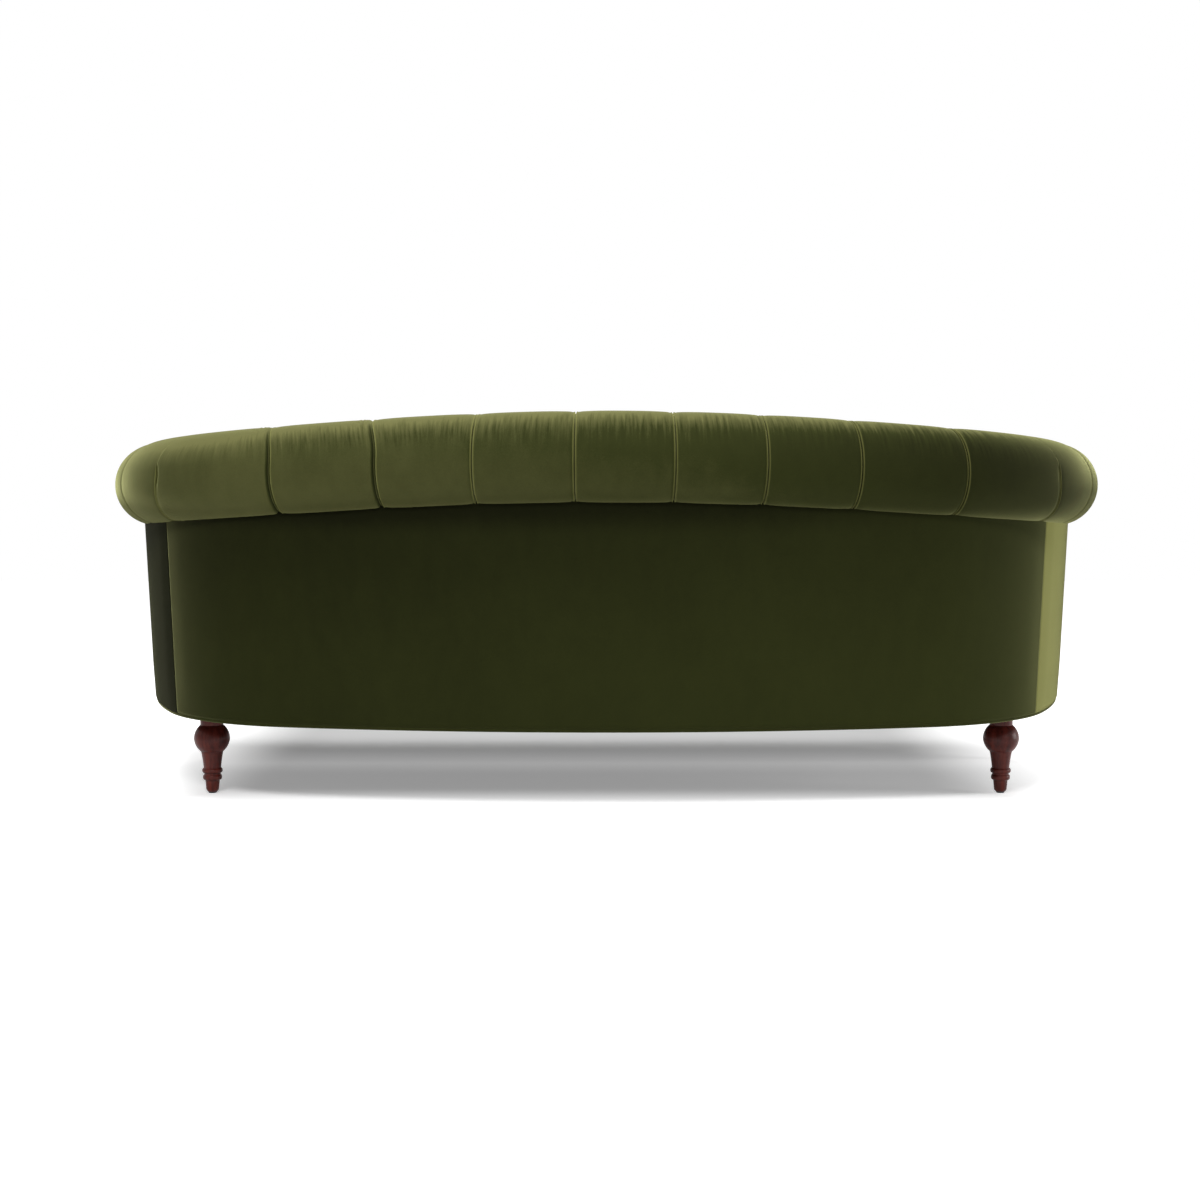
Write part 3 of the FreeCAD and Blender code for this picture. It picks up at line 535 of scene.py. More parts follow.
def coverRelief(u, station, offset, tall, angle):  # how far the cover stands out, its painted highlight, its crush streaks and its painted crease shade
    folds = np.array(allFolds)
    nearest = folds[np.abs(u[:, :1] - folds).argmin(axis=1)][:, None]
    radius = turnAt(nearest)[2]
    scale = (radius + offset) / radius  # a step beside the plan line against a step on it
    x = (u - nearest) * scale
    drop = rollSeat(u) - tall
    overRoll = station <= 1
    onRoll = 1 - smooth(station, 1.75, 2.25)
    lapped = np.isin(nearest, backFolds[-3:-1]) * 1.0  # the two pleats at +X lap over further
    atHook = nearest == backFolds[-1]  # the corner pleat at +X
    atCorner = atHook | (nearest == backFolds[0])
    cornerPull = np.where(overRoll, 1 - 0.94 * smooth(angle, 4, 24), 0.06 + 0.94 * smooth(station, 1.3, 2.0))
    toButton = 1 - smooth(drop, cover["upperDrop"] - 0.012, cover["upperDrop"] + 0.004)
    pull = toButton * np.where(atCorner, cornerPull, 1.0)
    ridges = bell(np.abs(x) - cover["ridgeAt"], cover["ridgeWidth"]) * pull * (1 - 0.8 * lapped * (x > 0))
    tuck = bell(x - cover["tuckAt"], cover["tuckWidth"]) * (0.12 + 0.88 * lapped) * pull
    tuck = tuck + bell(x + 0.003, 0.004) * atHook * bell(angle - 2, 11) * overRoll
    wave = 2 * np.pi / cover["gatherWave"]
    crest = np.sin((x + 0.00056 * (angle - 90)) * wave) * bell(x - 0.016 - 0.0004 * (90 - angle), 0.012)
    crest = crest * lapped * smooth(angle, 48, 70) * (1 - smooth(angle, 100, 125))
    foot = np.sin((x - 0.0011 * (angle + 75)) * wave) * bell(x + 0.026, 0.017)
    foot = foot * atHook * (1 - smooth(angle, -52, -22))
    gathers = (crest + foot) * overRoll
    relief = cover["puff"] * (1 - pull * bell(x, cover["puffWidth"])) * onRoll
    relief = relief - cover["dip"] * bell(x, cover["dipWidth"]) * pull
    relief = relief - cover["crease"] * bell(x, cover["creaseWidth"]) * pull
    relief = relief + cover["ridge"] * ridges - cover["tuck"] * tuck + cover["gather"] * gathers
    fromLip = station * cover["rollRun"]
    relief = relief - edgeRoll(fromLip, cover["lipRound"])
    relief = relief - edgeRoll(np.clip(coverFront - np.abs(u), 0, 1), cover["frontRound"])
    relief = relief + padRelief(u, scale, drop) * smooth(station, 1.8, 2.1)
    # a painted highlight along the pleat ridges, stronger towards +X, and a painted sheen line along the
    # roll's lip
    edge = (0.42 + 0.2 * smooth(u, -0.4, 0.5)) * ridges * onRoll + 0.45 * bell(fromLip - 0.0022, 0.0014)
    # painted shade in the tucks and creases, and painted light and shade across the gathers
    shade = 0.55 * tuck + 0.24 * bell(x, cover["creaseWidth"] * 1.3) * pull - 0.20 * gathers
    crush = smooth(angle, 5, 80) * (1 - smooth(angle, 110, 150)) * overRoll
    return relief, edge, crush, shade


def paintedLightOnCover(x, station, angle):  # painted light and shade on the velvet: lighter at the crest and towards +X, a little darker mid-roll and lighter low down, darkest at the -X end
    crest = smooth(angle, 32, 85) * 0.60 + smooth(x, 0.60, 0.85) * smooth(angle, 10, 60) * 0.34
    tone = 0.57 + 0.15 * smooth(x, -0.25, 0.95) - 0.40 * smooth(-x, 0.10, 0.95)
    tone = tone + crest * (station <= 1) - 0.08 * bell(angle - 20, 26) + 0.04 * smooth(-angle, 15, 55)
    return tone + 0.14 * smooth(x, 0.90, 1.03) - 0.34 * smooth(-x, 0.85, 1.03)


def makeCover(name, start, end, replaced):
    rollRows = math.ceil(line["rollRadius"] * math.radians(line["shoulderAngle"] + 75) / cover["rollRow"])
    station = np.concatenate([
        cover["lipStations"],
        np.linspace(0.0145, 1, rollRows, endpoint=False),
        np.linspace(1, 2, 10, endpoint=False),
        np.linspace(2, 2.56, 32, endpoint=False),
        np.linspace(2.56, 3, 12),
    ])
    u, station = np.broadcast_arrays(columnPlaces(start, end)[:, None], station)
    distance = u + pleatShift(u, station, sectionAt(u, station)[2])
    offset, tall, angle = sectionAt(distance, station)
    relief, edge, crush, shade = coverRelief(u, station, offset, tall, angle)
    points = place(distance, offset, tall)
    outwards = unit(np.cross(np.gradient(points, axis=1), np.gradient(points, axis=0)))
    points = points + outwards * relief[..., None]
    # the tone is painted light and shade, less the painted shade in the creases
    tone = paintedLightOnCover(points[..., 0], station, angle) - shade
    run = runAlong(points)
    run = np.concatenate([run, run[-1] + np.array([0.1, 0.4, 0.45, 0.47])])
    top = rollSeat(distance[:, -1])
    heel = place(distance[:, -1], line["padBack"] + lean(cushionFoot), cushionFoot)
    backTop = place(distance[:, -1], line["padBack"] + lean(top), top)
    lipInside = place(distance[:, 0], lean(top) + cover["lipGap"], rollSeat(distance[:, 0]))
    behind = np.stack([heel, backTop, lipInside, points[:, 0]], axis=1)
    uv = np.stack(np.broadcast_arrays(u[:, :1], run), axis=-1)
    tones = [np.pad(values, ((0, 0), (0, 4)), mode="edge") for values in (tone, edge, crush)]
    piece = skin(name, np.concatenate([points, behind], axis=1), uv, *tones)
    closeSkin()
    finishPiece(piece, velvetCover, "sofa_frame", replaced)
    print(name, "made,", len(piece.data.vertices), "points")


makeCover("backPleatedCover", backFolds[0], backFolds[-1], ("back_roll", "inside_back_pad"))
makeCover("rightArmPleatedCover", backFolds[-1], lineEnd, ("right_arm_roll", "right_inside_arm_pad"))
makeCover("leftArmPleatedCover", -lineEnd, backFolds[0], ("left_arm_roll", "left_inside_arm_pad"))


# outside covers over the back and the arms
outside = {
    "thickness": 0.0045, "edgeRound": 0.0032, "seam": 0.942, "seamGap": 0.0006, "puff": 0.0012, "row": 0.009,
    # the last value sets the strength of the painted sheen on the outside arm facing -X
    "fine": (0, 0.0005, 0.0012, 0.0022, 0.0034, 0.006, 0.010), "within": 0.016, "tall": 0.47, "paintedPanelSheen": 0.85,
}


def paintedLightOutside(points, distance):  # painted light and shade on the outside covers: lighter towards -X and lower down, lightest on the -X arm near its seam, darkest on the +X arm near its seam
    x, z = points[..., 0], points[..., 2]
    tone = 0.12 + 0.17 * smooth(-x, -0.9, 0.95) + 0.16 * smooth(-z, -0.62, -0.25)
    # a painted shadow under the roll's lip, fading towards -X, and darker towards +X
    tone = tone - 0.20 * smooth(z, 0.54, 0.60) * (1 - smooth(-x, 0.2, 0.9)) - 0.2 * smooth(x, 0.80, 0.93)
    near = 1 - smooth(np.abs(distance) - outside["seam"], 0.10, 0.32)
    tone = tone + (0.30 + 0.32 * near) * (distance < -outside["seam"])
    return tone + (0.24 - 0.40 * near) * (distance > outside["seam"])


def makeOutside(name, start, end, replaced, material):
    width = end - start
    start = -coverFront if start == -lineEnd else start
    end = coverFront if end == lineEnd else end
    fine, within, tall = np.array(outside["fine"]), outside["within"], outside["tall"]
    middle = np.linspace(start + within, end - within, int(width / outside["row"]))
    distance = np.concatenate([start + fine, middle, (end - fine)[::-1]])[:, None]
    rows = np.concatenate([fine, np.linspace(within, tall - 0.01, int(tall / outside["row"])), [tall]])
    topHeight = rollSeat(distance) - 0.0005
    height = panelFoot + (topHeight - panelFoot) * rows / tall
    sideGap = np.minimum(distance - start, end - distance)
    footGap = height - panelFoot
    puff = outside["puff"] * smooth(sideGap, 0, 0.06) * smooth(footGap, 0, 0.08)
    offset = lean(height) - edgeRoll(np.minimum(sideGap, footGap), outside["edgeRound"]) + puff
    points = place(distance, offset, height)
    uv = np.stack(np.broadcast_arrays(distance, height), axis=-1)
    # a painted sheen on the outside arm facing -X, strongest near its seam
    paintedPanelSheen = outside["paintedPanelSheen"] * (1 - smooth(-distance - outside["seam"], 0.10, 0.32)) * (end < 0)
    piece = skin(name, points, uv, paintedLightOutside(points, distance), paintedPanelSheen)
    shell = piece.modifiers.new("Solidify", "SOLIDIFY")
    shell.thickness, shell.offset = outside["thickness"], -1.0
    bpy.ops.object.modifier_apply(modifier=shell.name)
    finishPiece(piece, material, "sofa_frame", replaced)


seamSide = outside["seam"] - outside["seamGap"]
makeOutside("outsideBackCover", -seamSide, seamSide, ("outside_back_panel",), velvetCover)
# the outside arm at +X takes the shaded copy of the velvet
makeOutside("rightOutsideArmCover", outside["seam"], lineEnd, ("right_outside_arm_panel",), shadedVelvet)
makeOutside("leftOutsideArmCover", -lineEnd, -outside["seam"], ("left_outside_arm_panel",), velvetCover)
print("outside covers made")


# piping round the foot, a cord in velvet that also turns across the front
piping = {"radius": 0.004, "height": 0.1705, "offset": -0.0009, "corner": 0.006, "reach": 0.0145, "around": 14}


def roundPath(points, radius, steps=5):  # the corners of an open run of plan points, rounded
    path = [points[0]]
    for before, corner, after in zip(points, points[1:], points[2:]):
        back = (before - corner) / np.linalg.norm(before - corner) * radius
        on = (after - corner) / np.linalg.norm(after - corner) * radius
        for part in np.linspace(0, 1, steps):
            path.append(corner + back * (1 - part) ** 2 + on * part ** 2)
    return path + [points[-1]]

    return path + [points[-1]]


def makeCord(name, path, radius, around, tone, body="sofa_frame", replaced=(), up=(0, 0, 1)):
    path = np.asarray(path)  # a closed loop, square to up; the cord's UV runs along it
    level = unit(np.cross(np.roll(path, -1, axis=0) - np.roll(path, 1, axis=0), up))
    turn = np.linspace(0, 2 * np.pi, around + 1)[:, None]
    points = closed(path[:, None] + (level[:, None] * np.cos(turn) + np.array(up) * np.sin(turn)) * radius)
    uv = np.stack(np.broadcast_arrays(runAlong(points[:, 0])[:, None], turn.T * radius), axis=-1)
    piece = skin(name, points, uv, tone)
    closeSkin(openRims=False)
    finishPiece(piece, velvetCover, body, replaced)


def makeBasePiping():
    wall = place(np.linspace(-lineEnd, lineEnd, 420), piping["offset"], piping["height"])
    front = frontY - piping["reach"]
    left, right = wall[0], wall[-1]
    corners = [right, np.array([right[0], front, right[2]]), np.array([left[0], front, left[2]]), left]
    bends = roundPath(corners, piping["corner"])[1:-1]
    half = len(bends) // 2
    across = np.linspace(bends[half - 1], bends[half], 150)[1:-1]
    path = [*wall, *bends[:half], *across, *bends[half:]]
    makeCord("basePiping", path, piping["radius"], piping["around"], 0.42, replaced=("base_piping",))


makeBasePiping()


# arm fronts: a padded facing with its cord, and the border between them
frontFoot = panelFoot - 0.0050  # the arm fronts and the border hang down to the piping
armX = place(lineEnd, 0, 0)[0]
facing = {
    "margin": 0.004, "thickness": 0.010, "crown": 0.0035, "rim": 0.007, "cord": 0.0032, "footOffset": -0.150,
    "waistUp": 0.064, "padPoints": 24, "footPoints": 16, "edge": 0.004,
}


def frontOutline():  # (offset, height) points round an arm's front, from the wall's foot over the roll
    margin = facing["margin"]
    top = rollSeat(lineEnd)
    radius = rollRadius(lineEnd) - margin
    neckOffset = lean(top - line["seatDrop"] / 2) - margin
    lip = -math.acos((neckOffset - line["rollOffset"]) / radius)
    shoulder = math.radians(line["shoulderAngle"])
    foot = (-margin, frontFoot)
    points = list(np.linspace(foot, onCircle(lineEnd, lip, radius), 40))
    points += [onCircle(lineEnd, angle, radius) for angle in np.linspace(lip, shoulder, 62)[1:]]
    seatPoint = (line["shoulderOffset"] + margin, top)
    waist = (line["padWaist"] + margin, cushionFoot + facing["waistUp"])
    innerFoot = (facing["footOffset"] + margin, frontFoot)
    for start, direction, end, count in (
        (points[-1], shoulder + math.pi / 2, seatPoint, 10),
        (seatPoint, math.radians(240), waist, 26),
        (waist, math.radians(268), innerFoot, facing["padPoints"]),
    ):
        points += [arcFrom(start, direction, end, part) for part in np.linspace(0, 1, count)[1:]]
    return np.array(points + list(np.linspace(innerFoot, foot, facing["footPoints"] + 2)[1:-1]))


def insetRing(ring, amount):  # the outline drawn in by an amount
    tangent = np.roll(ring, -1, axis=0) - np.roll(ring, 1, axis=0)
    return ring + unit(np.stack([-tangent[:, 1], tangent[:, 0]], axis=1)) * amount


def makeFacing(name, side, replaced):
    outline = frontOutline()
    back = frontY - boardThickness
    rim, thickness = facing["rim"], facing["thickness"]

    def ringAt(inset, forward):
        ring = insetRing(outline, inset)
        return np.stack([side * (armX + ring[:, 0]), np.full(len(ring), back - forward), ring[:, 1]], axis=1)

    rows = [(0.0012, 0.0), (0.0, 0.0015)]
    for turn in np.linspace(0, math.pi / 2, 9):
        rows.append((rim * (1 - math.cos(turn)) * 0.35, thickness - facing["edge"] * (1 - math.sin(turn))))
    rows += [(rim * 0.6, thickness + facing["crown"] * 0.55), (rim, thickness + facing["crown"])]
    points = closed(np.stack([ringAt(*row) for row in rows], axis=1))
    piece = skin(name, points, points[..., ::2], 0.45)
    closeSkin()
    finishPiece(piece, velvetCover, "sofa_frame", replaced, smoothAngle=50)
    makeCord(name + "Cord", ringAt(-0.001, 0.003), facing["cord"], 12, 0.5, up=(0, 1, 0))


makeFacing("rightArmFacing", 1, ("right_arm_facing",))
makeFacing("leftArmFacing", -1, ("left_arm_facing",))

border = {"thickness": 0.014, "crown": 0.007, "edge": 0.005, "gap": 0.001}


def makeBorder():
    footPoints = facing["footPoints"]
    inner = frontOutline()[-footPoints - facing["padPoints"]:1 - footPoints]
    order = np.argsort(inner[:, 1])
    heights = np.linspace(frontFoot + 0.0005, deckTop - 0.0005, 40)
    part = (heights - heights[0]) / (heights[-1] - heights[0])
    halfWidth = armX + np.interp(heights, inner[order, 1], inner[order, 0]) - border["gap"]
    across = np.linspace(-1, 1, 150)
    across = (np.sign(across) * (1 - (1 - np.abs(across)) ** 1.25))[:, None]
    gapX = (1 - np.abs(across)) * halfWidth
    gapZ = np.minimum(heights - heights[0], heights[-1] - heights)
    front = border["thickness"] - edgeRoll(np.minimum(gapX, gapZ), border["edge"]) * 0.7
    front = front + border["crown"] * np.sin(np.pi * part) ** 0.8 * smooth(gapX, 0, 0.05)
    points = np.stack(np.broadcast_arrays(across * halfWidth, frontY - front, heights), axis=-1)
    behind = points[:, [-1, 0]].copy()
    behind[..., 1] = frontY
    points = np.concatenate([points, behind, points[:, :1]], axis=1)
    piece = skin("frontBorder", points, points[..., ::2], 0.42)
    closeSkin()
    finishPiece(piece, velvetCover, "sofa_frame", ("front_border",), smoothAngle=60)


makeBorder()
print("arm fronts and border made")


# seat cushions, boxed and crowned, with a corded seam above and below
seat = {
    "thickness": 0.128, "crown": 0.022, "draw": 0.006, "halfWidth": 0.284, "gap": 0.003, "setback": 0.003,
    "padLine": -0.183, "corner": 0.030, "cord": 0.0042, "columns": 300, "sideBulge": 0.004, "edgeSoft": 0.0048,
    "footSoft": 0.004, "wave": 0.0027, "pucker": 0.0015,
}


def drawnSide(start, end, centre):  # a side that pulls in between its corners
    run = end - start
    toRight = np.array([run[1], -run[0]]) @ (centre - (start + end) / 2) > 0
    return bowed(start, end, seat["draw"] if toRight else -seat["draw"], np.linspace(0, 1, 60)[1:-1])


def evenly(loop, count):  # a closed loop resampled at even steps
    points = closed(loop)
    run = runAlong(points)
    at = np.linspace(0, run[-1], count + 1)[:-1]
    return np.stack([np.interp(at, run, points[:, i]) for i in range(2)], axis=1), run[-1]


def softCorners(loop, length, reach):  # corners rounded by averaging along the loop
    steps = max(1, int(reach / (length / len(loop))))
    weights = np.hanning(2 * steps + 1)
    weights /= weights.sum()
    result = np.zeros_like(loop)
    for shift, weight in zip(range(-steps, steps + 1), weights):
        result += np.roll(loop, shift, axis=0) * weight
    return result


def distanceAt(x):
    return line["backRadius"] * math.asin(x / (line["backRadius"] + seat["padLine"]))


def cushionOutline(side):  # plan of the centre cushion, or of a side one
    front = frontY + seat["setback"]
    if side == 0:
        edge = distanceAt(seat["halfWidth"])
        rear = place(np.linspace(-edge, edge, 120), seat["padLine"], 0)[:, :2]
        corners = [rear[-1], np.array([rear[-1, 0], front]), np.array([rear[0, 0], front]), rear[0]]
    else:
        start = distanceAt(seat["halfWidth"] + seat["gap"])
        rear = place(np.linspace(start, lineEnd - seat["setback"], 200), seat["padLine"], 0)[:, :2]
        corners = [rear[-1], np.array([rear[0, 0], front]), rear[0]]
    centre = (rear[0] + [rear[-1, 0], front]) / 2
    pieces = [rear]
    for here, there in zip(corners, corners[1:]):
        pieces += [drawnSide(here, there, centre), there[None]]
    loop, length = evenly(np.concatenate(pieces)[:-1], seat["columns"])
    loop = softCorners(loop, length, seat["corner"])
    mirror = np.array([-1 if side < 0 else 1, 1])
    return loop * mirror, centre * mirror, length


def ripple(points, seed, scale):  # slow uneven waves over a soft surface
    random = np.random.default_rng(seed)
    total = np.zeros(points.shape[:-1])
    for _ in range(9):
        direction = random.normal(size=3)
        direction *= scale * random.uniform(0.6, 1.8) / np.linalg.norm(direction)
        total += np.sin(points @ direction + random.uniform(0, 6.28))
    return total / 9


def drawnIn(loop, centre, part, height):  # a level loop drawn towards its centre to a share of its size
    return np.column_stack([centre + (loop - centre) * part, np.broadcast_to(height, len(loop))])


def makeCushion(name, side, body, replaced, seed):
    loop, centre, length = cushionOutline(side)
    spread = np.linalg.norm(loop - centre, axis=1)
    outwards = unit(loop - centre)

    def domeAt(part):
        return seat["thickness"] + seat["crown"] * (1 - (spread * part / spread.max()) ** 2)

    seam = domeAt(1) - seat["edgeSoft"]
    underParts = 1 - np.concatenate([[0, 0.01, 0.025, 0.05], np.linspace(0.1, 0.97, 12)])[::-1]
    sideParts = np.linspace(0, 1, 15)[1:-1]
    topParts = 1 - np.concatenate([[0, 0.004, 0.010, 0.018, 0.028, 0.042, 0.06], np.linspace(0.085, 0.97, 30)])
    rows = [drawnIn(loop, centre, part, seat["footSoft"] * smooth(part, 0.93, 1.0)) for part in underParts]
    for part in sideParts:
        bulge = seat["sideBulge"] * ((4 * part * (1 - part)) ** 0.7 - 1)
        height = seat["footSoft"] + (seam - seat["footSoft"]) * part
        rows.append(np.column_stack([loop + outwards * bulge, height]))
    for part in topParts:
        inwards = spread * (1 - part)
        drop = seat["edgeSoft"] * (1 - smooth(inwards, 0, 0.05)) - 0.004 * smooth(inwards, 0.01, 0.09)
        rows.append(drawnIn(loop, centre, part, domeAt(part) - drop))
    points = np.stack(rows, axis=1)
    onTop = np.repeat([0.0, 1.0], [len(underParts) + len(sideParts), len(topParts)])
    fromRim = np.minimum(1, (1 - np.concatenate([underParts, np.ones(len(sideParts)), topParts])) * 6)
    waves = ripple(points, seed, 26) * seat["wave"] * fromRim * onTop
    pucker = ripple(points, seed + 1, 190) * seat["pucker"] * bell(fromRim - 0.18, 0.16) * onTop
    points[..., 2] += waves + pucker + cushionFoot
    points = closed(points)
    around = np.linspace(0, length, len(points))[:, None]
    piece = skin(name, points, np.stack(np.broadcast_arrays(around, runAlong(points)), axis=-1), 0.5)
    closeSkin()
    finishPiece(piece, velvetCover, body, replaced)
    cordLoop = loop - outwards * seat["sideBulge"] * 0.8
    for label, height in (("Top", seam), ("Under", np.full(len(loop), 0.005))):
        path = np.column_stack([cordLoop, height + cushionFoot])
        makeCord(name + label + "Cord", path, seat["cord"], 10, 0.52, body)


makeCushion("centreSeatCushion", 0, "centre_cushion", ("centre_seat_cushion",), 11)
makeCushion("rightSeatCushion", 1, "right_cushion", ("right_seat_cushion",), 12)
makeCushion("leftSeatCushion", -1, "left_cushion", ("left_seat_cushion",), 13)
print("seat cushions made")


# seat deck under the cushions, and the dust cover under the frame
def planArea(offset):  # everything inside a line offset from the plan line
    wall = place(np.linspace(-lineEnd, lineEnd, 300), offset, 0)[:, :2]
    wall = wall[wall[:, 1] > frontY]
    across = np.linspace([wall[-1, 0], frontY], [wall[0, 0], frontY], 120)
    return evenly(np.concatenate([wall, across]), 420)[0]


def makeLevelCloth(name, node, offset, sag, material):
    loop = planArea(offset)
    low, high = [corner.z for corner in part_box(node)]
    centre = np.array([0, (loop[:, 1].min() + loop[:, 1].max()) / 2])
    parts = [0.02, 0.1, 0.2, 0.3, 0.4, 0.5, 0.6, 0.7, 0.8, 0.88, 0.94, 0.975, 0.992, 1.0]
    rows = [drawnIn(loop, centre, part, low - sag * (1 - part ** 2)) for part in parts]
    for part in parts[::-1]:
        drop = 0.0015 * (part > 0.99) + sag * (1 - part ** 2)
        rows.append(drawnIn(loop, centre, part, high - drop))
    points = closed(np.stack(rows, axis=1))
    piece = skin(name, points, points[..., :2])
    closeSkin()
    finishPiece(piece, material, "sofa_frame", (node,), smoothAngle=40)


makeLevelCloth("seatDeckCover", "seat_deck_pad", lean(deckTop) - 0.0365, 0.002, deckCloth)
makeLevelCloth("dustCover", "dust_cover", -0.008, 0.004, dustCloth)
print("deck and dust cover made")


# covered buttons, one modelled and copied to each tuft
button = {"radius": 0.011, "height": 0.0062, "sink": 0.0105}


def modelButton():
    bpy.ops.mesh.primitive_uv_sphere_add(segments=28, ring_count=14, radius=button["radius"])
    knob = bpy.context.object
    bpy.ops.object.mode_set(mode="EDIT")
    bpy.ops.mesh.select_all(action="SELECT")
    bpy.ops.transform.resize(value=(1, 1, button["height"] / button["radius"]))
    bpy.ops.mesh.select_all(action="DESELECT")
    bpy.ops.object.mode_set(mode="OBJECT")
    for vertex in knob.data.vertices:
        vertex.select = vertex.co.z < -0.0005
    bpy.ops.object.mode_set(mode="EDIT")
    bpy.ops.transform.resize(value=(0.86, 0.86, 0.6))
    bpy.ops.object.mode_set(mode="OBJECT")
    return knob


def tuftPlace(distance, drop):  # point on the pad's face and the direction straight out of it
    def at(d, fallen):
        top = float(rollSeat(d))
        station = 2 + fallen / (top - cushionFoot)
        offset, tall, _ = sectionAt(np.array(float(d)), np.array(station))
        return place(d, offset, tall)

    point = at(distance, drop)
    across, down = at(distance + 0.001, drop) - point, at(distance, drop + 0.001) - point
    out = unit(np.cross(across, down))
    if out @ (np.array([0, -0.2, 0.6]) - point) < 0:
        out = -out
    return Vector(point), Vector(out)


def makeButtons(name, start, end, replaced):
    copies = []
    for distance, drop in upperButtons + lowerButtons:
        if start <= distance <= end:
            point, out = tuftPlace(distance, drop)
            copy = copyOf(buttonModel)
            turned = out.to_track_quat("Z", "Y").to_matrix().to_4x4()
            copy.data.transform(Matrix.Translation(point - out * button["sink"]) @ turned)
            copies.append(copy)
    selectOnly(*copies)
    bpy.ops.object.join()
    copies[0].name = name
    paint(copies[0], 0.56)
    finishPiece(copies[0], velvetCover, "sofa_frame", replaced)


buttonModel = modelButton()
padSplit = 0.924
makeButtons("backButtons", -padSplit, padSplit, ("back_buttons",))
makeButtons("rightArmButtons", padSplit, lineEnd, ("right_arm_buttons",))
makeButtons("leftArmButtons", -lineEnd, -padSplit, ("left_arm_buttons",))
bpy.data.objects.remove(buttonModel)
print("buttons made")


# turned legs, one modelled and copied
turning = {
    "sole": (0.0096, 0.0030), "toeFoot": (0.0132, 0.0090), "toeTop": (0.0148, 0.0275), "ringSeat": 0.0170,
    "lowerRing": (0.0196, 0.0330), "upperRing": (0.0212, 0.0470), "ringHalf": 0.0055,
    "shaftFoot": (0.0178, 0.0525), "shaftTop": (0.0224, 0.0850), "groove": 0.0230, "neck": (0.0246, 0.0880),
    "bulb": (0.0370, 0.1135), "collar": (0.0235, 0.1420), "top": 0.1680, "sides": 72,
}
def ringTurn(middle, seatRadius, half):  # a bead between two heights
    points = []
    for part in np.linspace(-1, 1, 9):
        bulge = (middle[0] - seatRadius) * math.sqrt(max(0, 1 - part ** 2))
        points.append((seatRadius + bulge, middle[1] + part * half))
    return points


def legProfile():
    t = turning
    toeTop, shaftTop, neck, collar = t["toeTop"], t["shaftTop"], t["neck"], t["collar"]

    def bow(start, end, push, count):
        return list(bowed(start, end, push, np.linspace(0, 1, count + 1)[1:]))

    profile = [t["sole"]] + bow(t["sole"], t["toeFoot"], 0.0009, 4)
    profile += bow(t["toeFoot"], (toeTop[0], toeTop[1] - 0.001), 0.0, 3)
    profile += [(toeTop[0] - 0.0003, toeTop[1] - 0.0002), (toeTop[0] - 0.001, toeTop[1])]
    profile += ringTurn(t["lowerRing"], t["ringSeat"], t["ringHalf"])
    profile += ringTurn(t["upperRing"], t["ringSeat"], t["ringHalf"])[:-1] + [t["shaftFoot"]]
    profile += bow(t["shaftFoot"], shaftTop, -0.0004, 8)
    profile += [(shaftTop[0], shaftTop[1] + 0.0003), (t["groove"], shaftTop[1] + 0.0008)]
    profile += [(t["groove"], neck[1] - 0.0006), (neck[0] - 0.0004, neck[1] - 0.0002), neck]
    profile += bow(neck, t["bulb"], 0.0026, 10) + bow(t["bulb"], collar, 0.0035, 12)
    return profile + bow(collar, (collar[0], t["top"]), 0.0, 3)


def modelLeg():
    profile = legProfile()
    radius, height = profile[0]
    bpy.ops.mesh.primitive_circle_add(
        vertices=turning["sides"], radius=radius, location=(0, 0, height), fill_type="NGON",
    )
    leg = bpy.context.object
    bpy.ops.object.transform_apply(location=True)
    bpy.ops.object.mode_set(mode="EDIT")
    bpy.ops.mesh.select_all(action="SELECT")
    for nextRadius, nextHeight in profile[1:]:
        grow = nextRadius / radius
        bpy.ops.mesh.extrude_region_move(TRANSFORM_OT_translate={"value": (0, 0, nextHeight - height)})
        bpy.ops.transform.resize(value=(grow, grow, 1), center_override=(0, 0, nextHeight))
        radius, height = nextRadius, nextHeight
    bpy.ops.mesh.select_all(action="SELECT")
    bpy.ops.mesh.normals_make_consistent(inside=False)
    bpy.ops.object.mode_set(mode="OBJECT")
    return leg


legModel = modelLeg()
for corner in ("rear_left", "rear_right", "front_left", "front_right"):
    low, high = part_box(corner + "_leg")
    leg = copyOf(legModel)
    leg.name = leg.data.name = corner.replace("_l", "L").replace("_r", "R") + "Leg"
    leg.data.transform(Matrix.Translation(((low.x + high.x) / 2, (low.y + high.y) / 2, 0)))
    finishPiece(leg, legLacquer, "sofa_frame", (corner + "_leg",), smoothAngle=35)
bpy.data.objects.remove(legModel)
print("legs made")


# light, floor and background
studio = {
    "key": 112, "top": 62, "right": 24, "rear": 8, "front": 34, "ambient": 0.15, "white": (1, 1, 1, 1),
    "floor": (0.82, 0.82, 0.82, 1), "floorRoughness": 0.9, "floorMiddle": 0.02,
    # openGlow is the floor's white glow; nearGlow and farFade set the glow of the painted shadow under the
    # sofa
    "openGlow": 0.93, "nearGlow": 0.27, "farFade": -0.25,
}
fades = {"beside": (0.70, 1.05), "behind": (0.02, 0.30), "before": (1.0, 1.6), "further": (0.22, 0.62)}

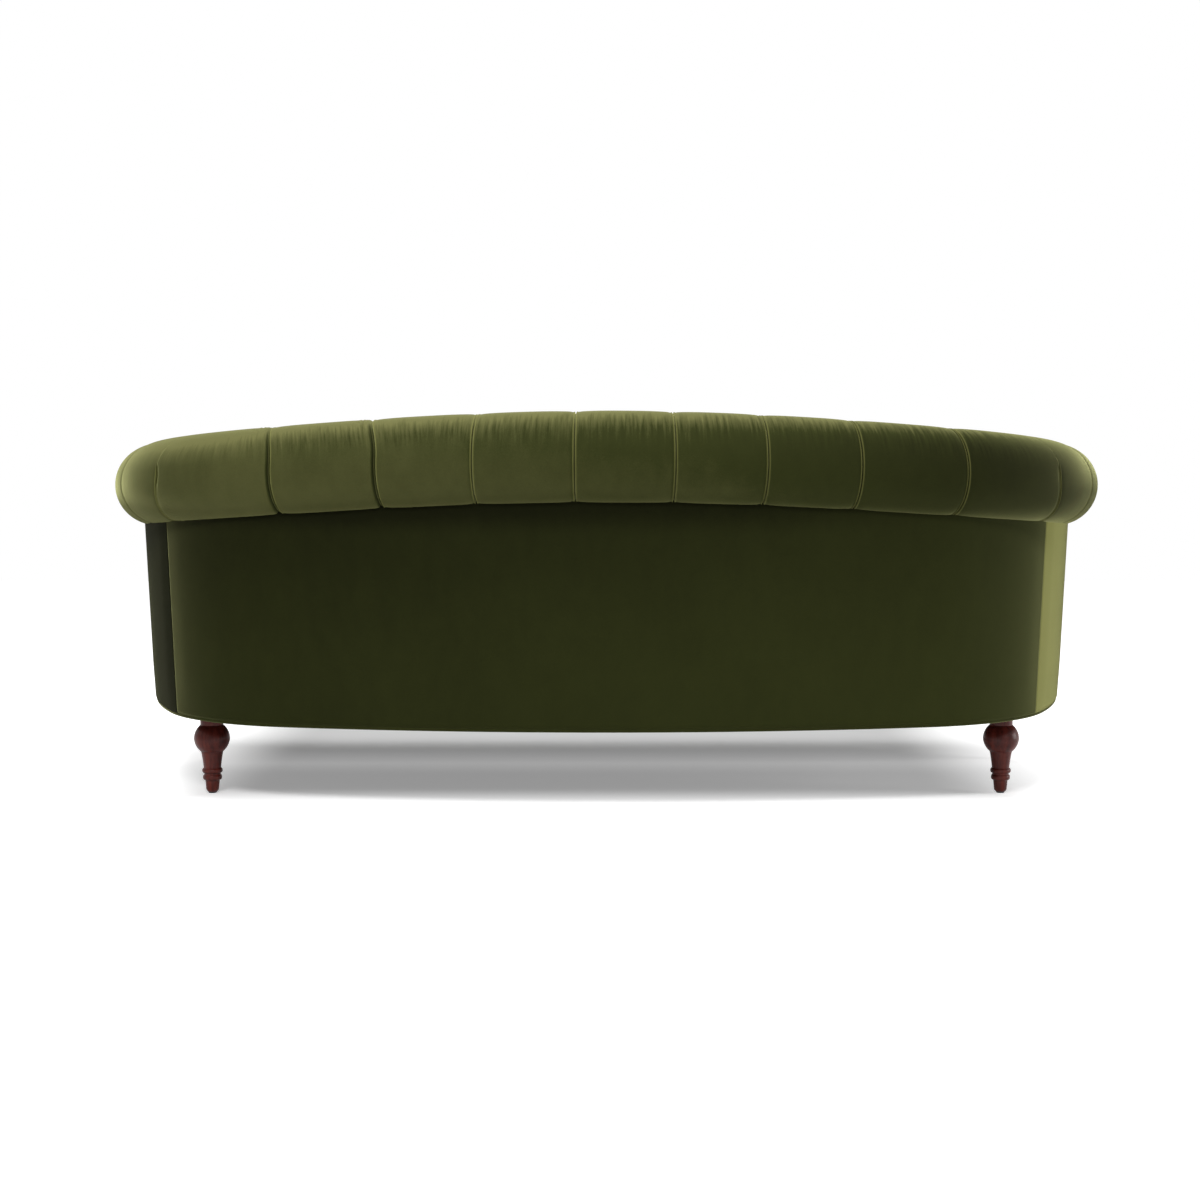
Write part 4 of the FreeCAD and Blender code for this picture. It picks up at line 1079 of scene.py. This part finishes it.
for name, location, target, size in (
    ("key", (0.8, 3.6, 3.0), (0.2, 0, 0.4), (1.4, 0.6)),
    ("top", (0.3, 0.7, 3.0), (0.1, 0, 0.4), (3.2, 0.9)),
    ("right", (-3.0, 0.1, 0.5), (-0.9, 0, 0.4), (1.2, 0.8)),
    ("front", (0.4, -3.6, 2.6), (0, 0, 0.4), (2.4, 1.2)),
    ("rear", (-2.2, 3.4, 1.2), (-0.2, 0.2, 0.4), (1.4, 1.2)),
):
    bpy.ops.object.light_add(type="AREA", location=location)
    lamp = bpy.context.object
    lamp.name = name + "Softbox"
    lamp.data.shape = "RECTANGLE"
    lamp.data.size, lamp.data.size_y = size
    lamp.data.energy = studio[name]
    lamp.rotation_euler = (Vector(target) - Vector(location)).to_track_quat("-Z", "Y").to_euler()

world = bpy.data.worlds.new("studioWorld")
bpy.context.scene.world = world
world.use_nodes = True
sky = world.node_tree


def seenBy(tree, *kinds):  # 1 for these kinds of ray
    rays = addNode(tree, "LightPath", {}).node.outputs
    return addLargest(tree, *[rays["Is " + kind + " Ray"] for kind in kinds])


ambient = sky.nodes["Background"]
fillInputs(sky, ambient, {"Color": studio["white"], "Strength": studio["ambient"]})
backdrop = addNode(sky, "Background", {"Color": studio["white"], "Strength": 1.0})
seen = seenBy(sky, "Camera", "Glossy", "Transmission")
shown = addNode(sky, "MixShader", {"Fac": seen, 1: ambient.outputs[0], 2: backdrop})
fillInputs(sky, sky.nodes["World Output"], {"Surface": shown})


def makeFloor():  # the camera sees it white, with its real shadow under the sofa deepened by a painted shadow where its glow drops, most of all towards the front
    bpy.ops.mesh.primitive_plane_add(size=14, location=(0, 0, 0))
    floor = bpy.context.object
    floor.name = "studioFloor"
    material, tree = newMaterial("paleFloor")
    spot = addNode(tree, "SeparateXYZ", {"Vector": objectPlace(tree)}).node.outputs
    sideways = addMath(tree, "ABSOLUTE", addMath(tree, "SUBTRACT", spot["X"], studio["floorMiddle"]))
    forward = addMath(tree, "MULTIPLY", spot["Y"], -1.0)
    faded = []
    for value, key in ((sideways, "beside"), (spot["Y"], "behind"), (forward, "before"), (forward, "further")):
        inputs = {"Value": value, "From Min": fades[key][0], "From Max": fades[key][1]}
        faded.append(addNode(tree, "MapRange", inputs, "Result", interpolation_type="SMOOTHSTEP"))
    openFloor = addLargest(tree, *faded[:3])
    # the painted shadow: a low glow under the sofa, dropping further towards the front
    shaded = addMath(tree, "MULTIPLY_ADD", faded[3], studio["farFade"], studio["nearGlow"])
    shaded = addMath(tree, "MULTIPLY", shaded, addMath(tree, "SUBTRACT", 1.0, openFloor))
    level = addMath(tree, "MULTIPLY_ADD", openFloor, studio["openGlow"], shaded)
    setShader(tree, {
        "Base Color": studio["floor"], "Roughness": studio["floorRoughness"], "Specular IOR Level": 0.0,
        "Emission Color": studio["white"],
        "Emission Strength": addMath(tree, "MULTIPLY", seenBy(tree, "Camera", "Glossy"), level),
    })
    floor.data.materials.append(material)


makeFloor()

bpy.context.scene.view_settings.view_transform = "Standard"
